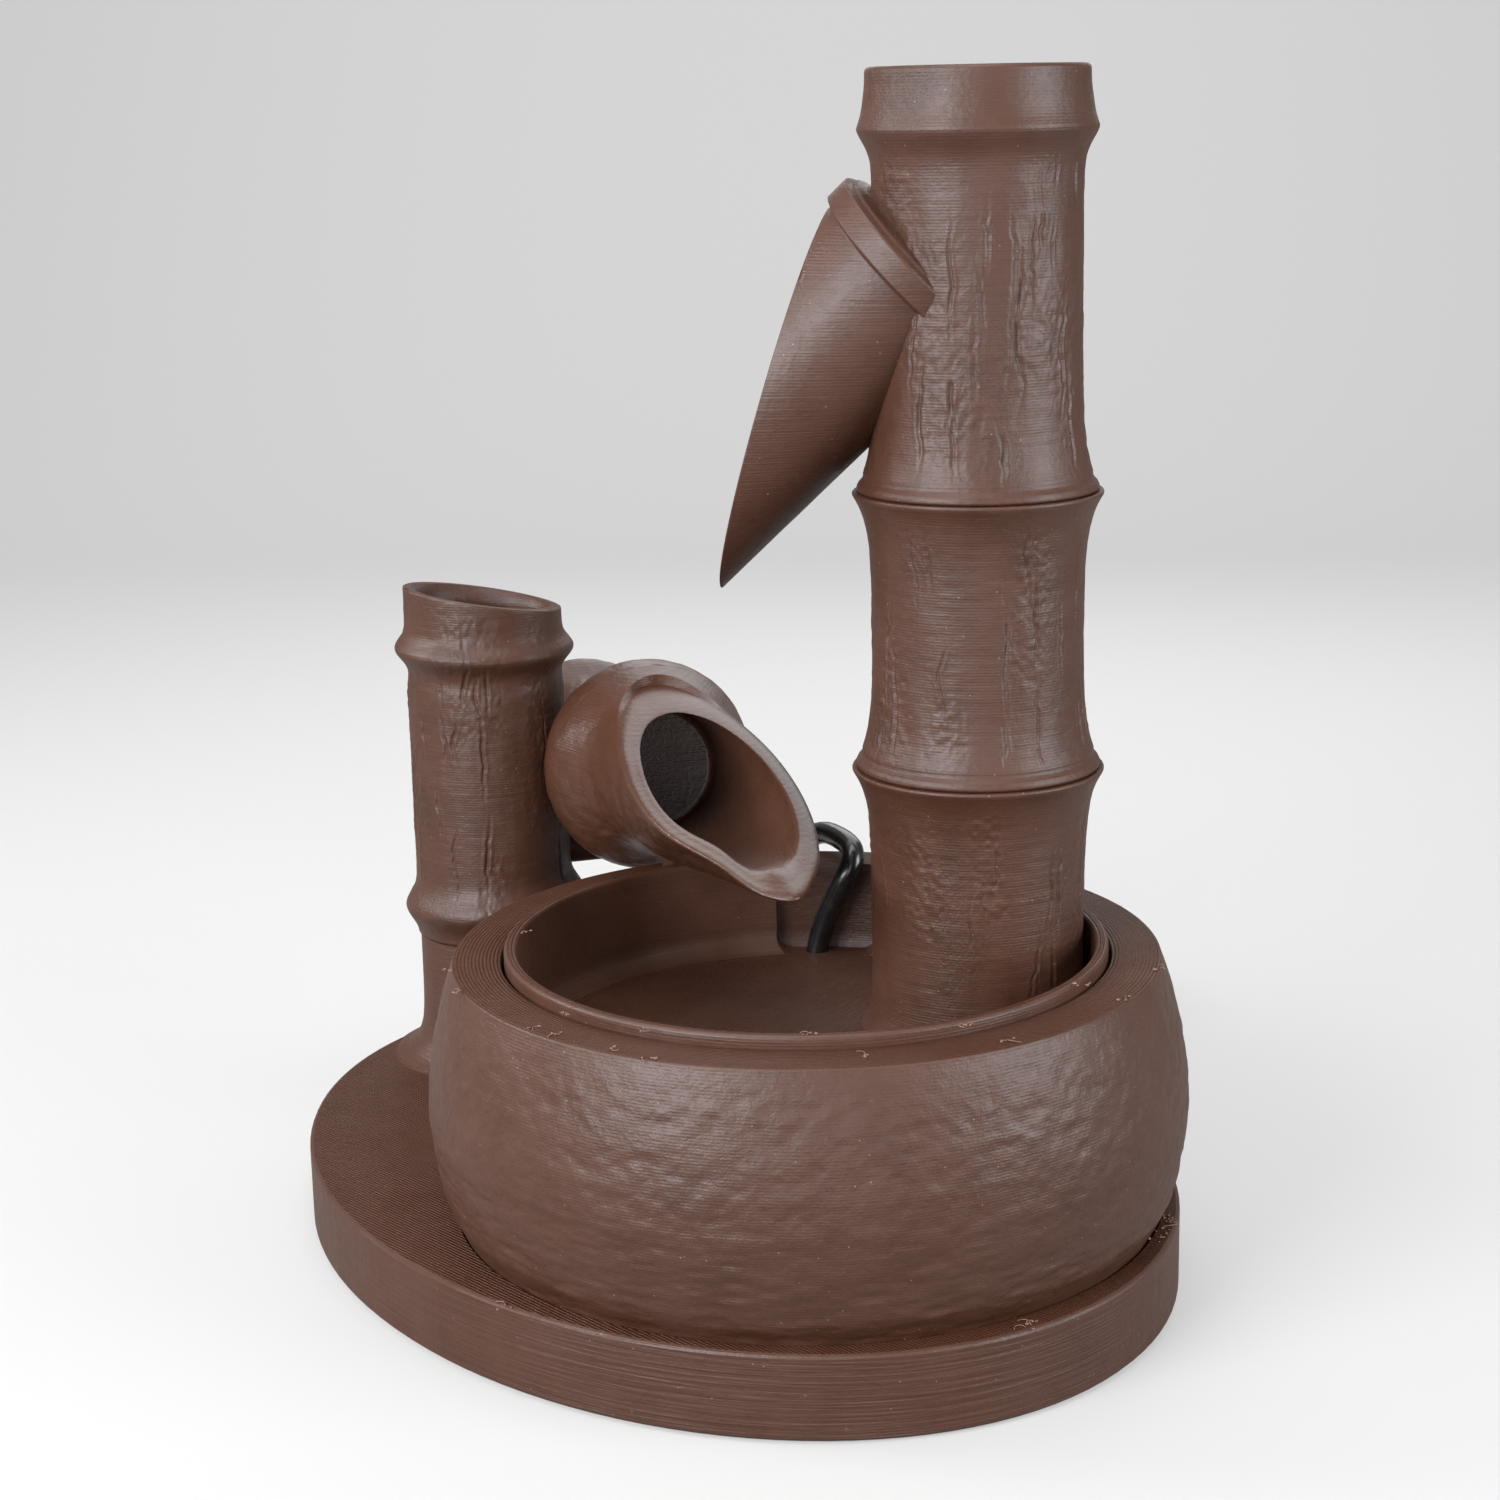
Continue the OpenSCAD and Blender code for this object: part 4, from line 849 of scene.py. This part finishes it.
# %% Finishes of the other solids
steel = dressed("steel", (0.5, 0.5, 0.51), (0.62, 0.62, 0.63), 0.32, 300, 0.15, Metallic=1.0)
black = dressed("black_plastic", (0.018, 0.018, 0.02), (0.028, 0.028, 0.03), 0.42, 400, 0.25)
rubber = dressed("black_rubber", (0.009, 0.009, 0.009), (0.016, 0.016, 0.016), 0.62, 350, 0.3)
sheath = dressed("cable_black", (0.006, 0.006, 0.007), (0.012, 0.012, 0.013), 0.26, 500, 0.15,
                 Coat_Weight=0.4, Coat_Roughness=0.15)
milky = dressed("milky_hose", (0.66, 0.69, 0.69), (0.75, 0.77, 0.77), 0.35, 200, 0.1, Subsurface_Weight=0.2)
white = dressed("white_plastic", (0.7, 0.7, 0.68), (0.78, 0.78, 0.76), 0.42, 250, 0.15)
foam = dressed("foam", (0.018, 0.02, 0.022), (0.05, 0.055, 0.06), 0.95, 900, 1.0)
FINISH = {"brown_print": smooth_print, "steel": steel, "black_plastic": black, "black_rubber": rubber,
          "cable_black": sheath, "clear_hose": milky, "clear_plastic": white, "foam": foam, "magnet": black}
slot_of = {row["node"]: row["material_slot"] for row in frame["record"]["subparts"]}
for name, solid in nodes.items():
    solid.data.materials.clear()
    solid.data.materials.append(base_print if name == "base_plate" else FINISH[slot_of[name]])
print("solids dressed:", len(nodes))

# %% [markdown]
# ## Cable
# The cable leaves the pump, comes up through the notch, bends over the rim and lies in a neat coil
# behind, where the bowl hides it. One line runs from the pump to the plug: first the free route, then the
# two layers of the coil, then the short end. A round tube is swept along it with rings that do not twist.

# %% Cable
CORD_D, PITCH = 4.0, 4.6
COIL_AT, COIL_OUT, COIL_IN = (36.0, 126.0), 31.1, 15.0
COIL_LOW, COIL_HIGH = 2.9, 7.5
COIL_TURNS, BACK_TURNS, COIL_DIP = 3.5, 3.0, 1.2
ROUTE = [(-5, 7, 25.4), (-8, 7, 25.4), (-14, 7, 25.2), (-20.5, 8.6, 24.6), (-25.4, 13.5, 23.4),
         (-26.6, 20.5, 21.8), (-23.4, 27.5, 20.6), (-17.5, 33.5, 20), (-10.5, 38, 20.2), (-4.4, 41.6, 21.4),
         (-0.6, 44.2, 25), (0.8, 45.6, 31), (1.2, 46, 37), (2.4, 46.2, 43), (4.6, 45.8, 48.6),
         (7, 45.2, 53.6), (8.2, 46.3, 56.8), (7.4, 49.8, 58.3), (3.6, 57.6, 58.3), (0.2, 62.4, 56),
         (-2, 65.6, 52.2), (-3, 67, 45.6), (-3.4, 67.8, 38), (-3.4, 69, 30), (-2.8, 72.2, 23),
         (-1.8, 78, 18), (-0.6, 85.6, 16.2), (0.8, 93.4, 16.2), (2.2, 100, 14.6), (3.4, 106, 11),
         (4.4, 112.4, 8.5), (4.95, 119, 7.6), (5, 124, 7.5)]
LEAD = [(7.3, 132, 2.9), (7.9, 140, 2.9), (9.5, 148, 3.1), (12, 156, 3.5), (14.8, 163.4, 3.9), (17, 168.9, 4)]


def pulled(a, b, c, d, s):
    """The cubic from b to c whose slope at either end is half the way between that point's neighbours."""
    start = 2 * b + (c - a) * s + (2 * a - 5 * b + 4 * c - d) * s ** 2
    return 0.5 * (start + (3 * b - a - 3 * c + d) * s ** 3)


def smooth_route(points, share):
    """A smooth line through points: each point's pull is a cubic of its two neighbours on either side."""
    p = np.array(points, float)
    p = np.concatenate([p[:1], p, p[-1:]])
    s = np.arange(share)[:, None] / share
    parts = [pulled(a, b, c, d, s) for a, b, c, d in zip(p[:-3], p[1:-2], p[2:-1], p[3:])]
    return np.concatenate(parts + [p[-1:]])


def coil_line(steps=48):
    """The coil: in on the upper layer, down a soft step inside, and out on the lower layer, clockwise."""
    one = np.arange(int(steps * COIL_TURNS) + 1) / steps
    drop = np.arange(1, steps // 2) / steps
    two = np.arange(int(steps * BACK_TURNS) + 1) / steps
    turns = np.concatenate([one, COIL_TURNS + drop, COIL_TURNS + 0.5 + two])
    dip = COIL_IN - COIL_DIP * np.sin(TURN * drop)
    r = np.concatenate([COIL_OUT - PITCH * one, dip, COIL_IN + PITCH * two])
    fall = along(COIL_HIGH, COIL_LOW, (1 - np.cos(TURN * drop)) / 2)
    z = np.concatenate([COIL_HIGH + 0 * one, fall, COIL_LOW + 0 * two])
    a = math.pi - TURN * turns
    return np.stack([COIL_AT[0] + r * np.cos(a), COIL_AT[1] + r * np.sin(a), z], -1)


def sweep(path, radius, sides=16):
    """Rings across a path; each ring's first arm is the last one's with its lengthwise part taken off."""
    step = np.gradient(path, axis=0)
    step /= np.linalg.norm(step, axis=1)[:, None]
    arm = np.cross(step[0], (0, 0, 1.0))
    arms = []
    for t in step:
        arm = arm - (arm @ t) * t
        arm = arm / np.linalg.norm(arm)
        arms.append(arm)
    arms = np.array(arms)
    other = np.cross(step, arms)
    turn = (TURN * np.arange(sides) / sides)[None, :, None]
    return path[:, None] + radius * (np.cos(turn) * arms[:, None] + np.sin(turn) * other[:, None])


coil = coil_line()
cable_path = np.concatenate([smooth_route(ROUTE, 4), coil, smooth_route([tuple(coil[-1])] + LEAD, 4)[1:]])
cable = make_piece("cable", [capped(sweep(cable_path, CORD_D / 2))], None, "base", sheath)
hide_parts("cord", "cord_coil")

# %% [markdown]
# ## Strings and blobs
# The printer leaves short hairs and small blobs along edges. They are listed where they are seen; each is
# a short curl swept with a thin ring, so one helper makes them all.

# %% Strings and blobs
RIM_SPOTS = [(-55.9, -10.2), (-53.4, -21.1), (-39.4, -37.5), (-35.6, -41.1), (-27.5, -47.8), (-21.8, -51.2),
             (8.3, -51.7), (29.3, -45.3), (48.0, -28.2), (55.1, -13.2)]
LIP_SPOTS = [(-45.1, 3.2), (-35.6, -37.8), (-23.6, -44.7), (0.5, -47.6), (23.3, -44.0), (42.2, -26.6)]
PLATE_SPOTS = [(56.2, -14.6), (54.6, -18.5), (53.2, -21.5), (55.9, -12.4), (53.9, -20.2),
               (55.6, -16.6), (57.2, -13.6), (32.4, -51.2), (31.6, -51.9), (-45.1, -43.5)]
PLATE_Z, BLOBS_EACH, BLOB_AWAY = 13.6, 3, 1.3
HAIR_R, HAIR_LONG, BLOB_R, BLOB_LONG = (0.06, 0.1), (1.4, 3.2), (0.1, 0.2), (0.3, 0.7)


def curl(at, draw, radius, length):
    """A short curled strand: a quarter to a full turn of a small circle that rises a little as it goes."""
    s = np.linspace(0, 1, 9)
    bend, start = draw.uniform(1.0, 4.5), draw.uniform(0, TURN)
    a = start + bend * s
    r = length / bend
    path = np.stack([at[0] + r * (np.cos(a) - np.cos(start)), at[1] + r * (np.sin(a) - np.sin(start)),
                     at[2] + radius * 0.6 + 0.25 * length * s * (1 - s)], -1)
    return capped(sweep(path, radius, 6))


draw = np.random.default_rng(17)
strands = []
for spots, level, size in ((RIM_SPOTS, RIM_Z, 1.0), (LIP_SPOTS, LIP_TOP, 0.8), (PLATE_SPOTS, PLATE_Z, 1.0)):
    for x, y in spots:
        strands.append(curl((x, y, level), draw, draw.uniform(*HAIR_R), size * draw.uniform(*HAIR_LONG)))
        for _ in range(BLOBS_EACH):
            beside = (x + draw.uniform(-BLOB_AWAY, BLOB_AWAY), y + draw.uniform(-BLOB_AWAY, BLOB_AWAY), level)
            strands.append(curl(beside, draw, draw.uniform(*BLOB_R), draw.uniform(*BLOB_LONG)))
string_print = dressed("string_print", (0.16, 0.08, 0.05), (0.26, 0.15, 0.11), 0.4, 900)
make_piece("print_strings", strands, None, "base", string_print)

# %% [markdown]
# ## Studio
# A brown object on a pale sweep needs soft light from the camera's side and a dim room. World and floor
# are pale only for the camera and in part for reflections, so they don't wash the plastic out.

# %% Lamps and world
GLOSSY_SHARE, WORLD_SHOWN, WORLD_LIGHT = 0.4, 0.75, 0.08
# A lamp's name, its place and its aim in mm, its side in m and its power in W.
AIM = (0, 10, 80)
LAMPS = [("left_soft", (-420, -470, 330), AIM, 0.4, 5.6), ("left_high", (-540, 70, 340), AIM, 0.18, 1.4),
         ("right_soft", (500, -220, 240), AIM, 0.34, 2.7), ("front_low", (40, -640, 70), AIM, 0.45, 1.2),
         ("top_soft", (-60, -60, 620), AIM, 0.4, 1.6), ("back_soft", (60, 460, 380), (0, 10, 90), 0.4, 0.8),
         ("backdrop_wash", (0, 500, 900), (0, 1300, 300), 0.9, 5.0)]


def seen_share(tree):
    """1 for the camera's rays and those through clear things, a part for reflections, 0 for other rays."""
    ray = tree.nodes.new("ShaderNodeLightPath")
    direct = math_node(tree, "MAXIMUM", ray.outputs["Is Camera Ray"], ray.outputs["Is Transmission Ray"])
    glossy = math_node(tree, "MULTIPLY", ray.outputs["Is Glossy Ray"], GLOSSY_SHARE)
    return math_node(tree, "MAXIMUM", direct, glossy)


def lamp(name, at, to, size, watts):
    """A square soft light that looks at a point."""
    data = bpy.data.lights.new(name, "AREA")
    data.size, data.energy = size, watts
    made = bpy.data.objects.new(name, data)
    bpy.context.scene.collection.objects.link(made)
    made.location = [c * MM for c in at]
    direction = np.array(to, float) - np.array(at, float)
    made.rotation_euler = Vector(direction).to_track_quat("-Z", "Y").to_euler()


world = bpy.data.worlds.new("studio")
bpy.context.scene.world = world
world.use_nodes = True
background = world.node_tree.nodes["Background"]
background.inputs["Color"].default_value = (1, 1, 1, 1)
shown = math_node(world.node_tree, "MULTIPLY_ADD", seen_share(world.node_tree), WORLD_SHOWN, WORLD_LIGHT)
world.node_tree.links.new(shown, background.inputs["Strength"])
for row in LAMPS:
    lamp(*row)
print("lamps:", len(LAMPS))

# %% [markdown]
# The floor runs up behind the object in a quarter round, so that no horizon shows. It belongs to the
# stage and isn't counted as a piece.

# %% Floor
FLOOR_Z, FRONT_Y, SWEEP_Y, SWEEP_R, BACK_H, HALF = -0.0003, -3.0, 0.7, 0.6, 2.6, 4.0
FLOOR_DARK, FLOOR_PALE, FLOOR_GLOW = (0.08, 0.08, 0.08), (0.36, 0.36, 0.36), 0.38
bend = np.radians(np.arange(0, 91, 3))
arc = [(SWEEP_Y + SWEEP_R * math.sin(a), SWEEP_R - SWEEP_R * math.cos(a)) for a in bend]
side_line = [(FRONT_Y, 0.0)] + arc + [(SWEEP_Y + SWEEP_R, BACK_H)]
floor_mesh = bpy.data.meshes.new("floor")
floor_mesh.from_pydata([(x, y, z + FLOOR_Z) for y, z in side_line for x in (-HALF, HALF)], [],
                       [(2 * i, 2 * i + 1, 2 * i + 3, 2 * i + 2) for i in range(len(side_line) - 1)])
floor_mesh.polygons.foreach_set("use_smooth", [True] * len(floor_mesh.polygons))
floor = bpy.data.objects.new("floor", floor_mesh)
bpy.context.scene.collection.objects.link(floor)
floor_finish, floor_tree, floor_shader = new_finish("floor", (0.6, 0.6, 0.6), 0.8, Specular_IOR_Level=0.2,
                                                    Emission_Color=(1, 1, 1, 1))
seen = seen_share(floor_tree)
floor_colour = ramp(floor_tree, seen, [(0.0, FLOOR_DARK), (1.0, FLOOR_PALE)])
floor_glow = math_node(floor_tree, "MULTIPLY", seen, FLOOR_GLOW)
floor_tree.links.new(floor_colour, floor_shader.inputs["Base Color"])
floor_tree.links.new(floor_glow, floor_shader.inputs["Emission Strength"])
floor_mesh.materials.append(floor_finish)
bpy.context.scene.view_settings.view_transform = "Standard"
print("floor strips:", len(floor_mesh.polygons))
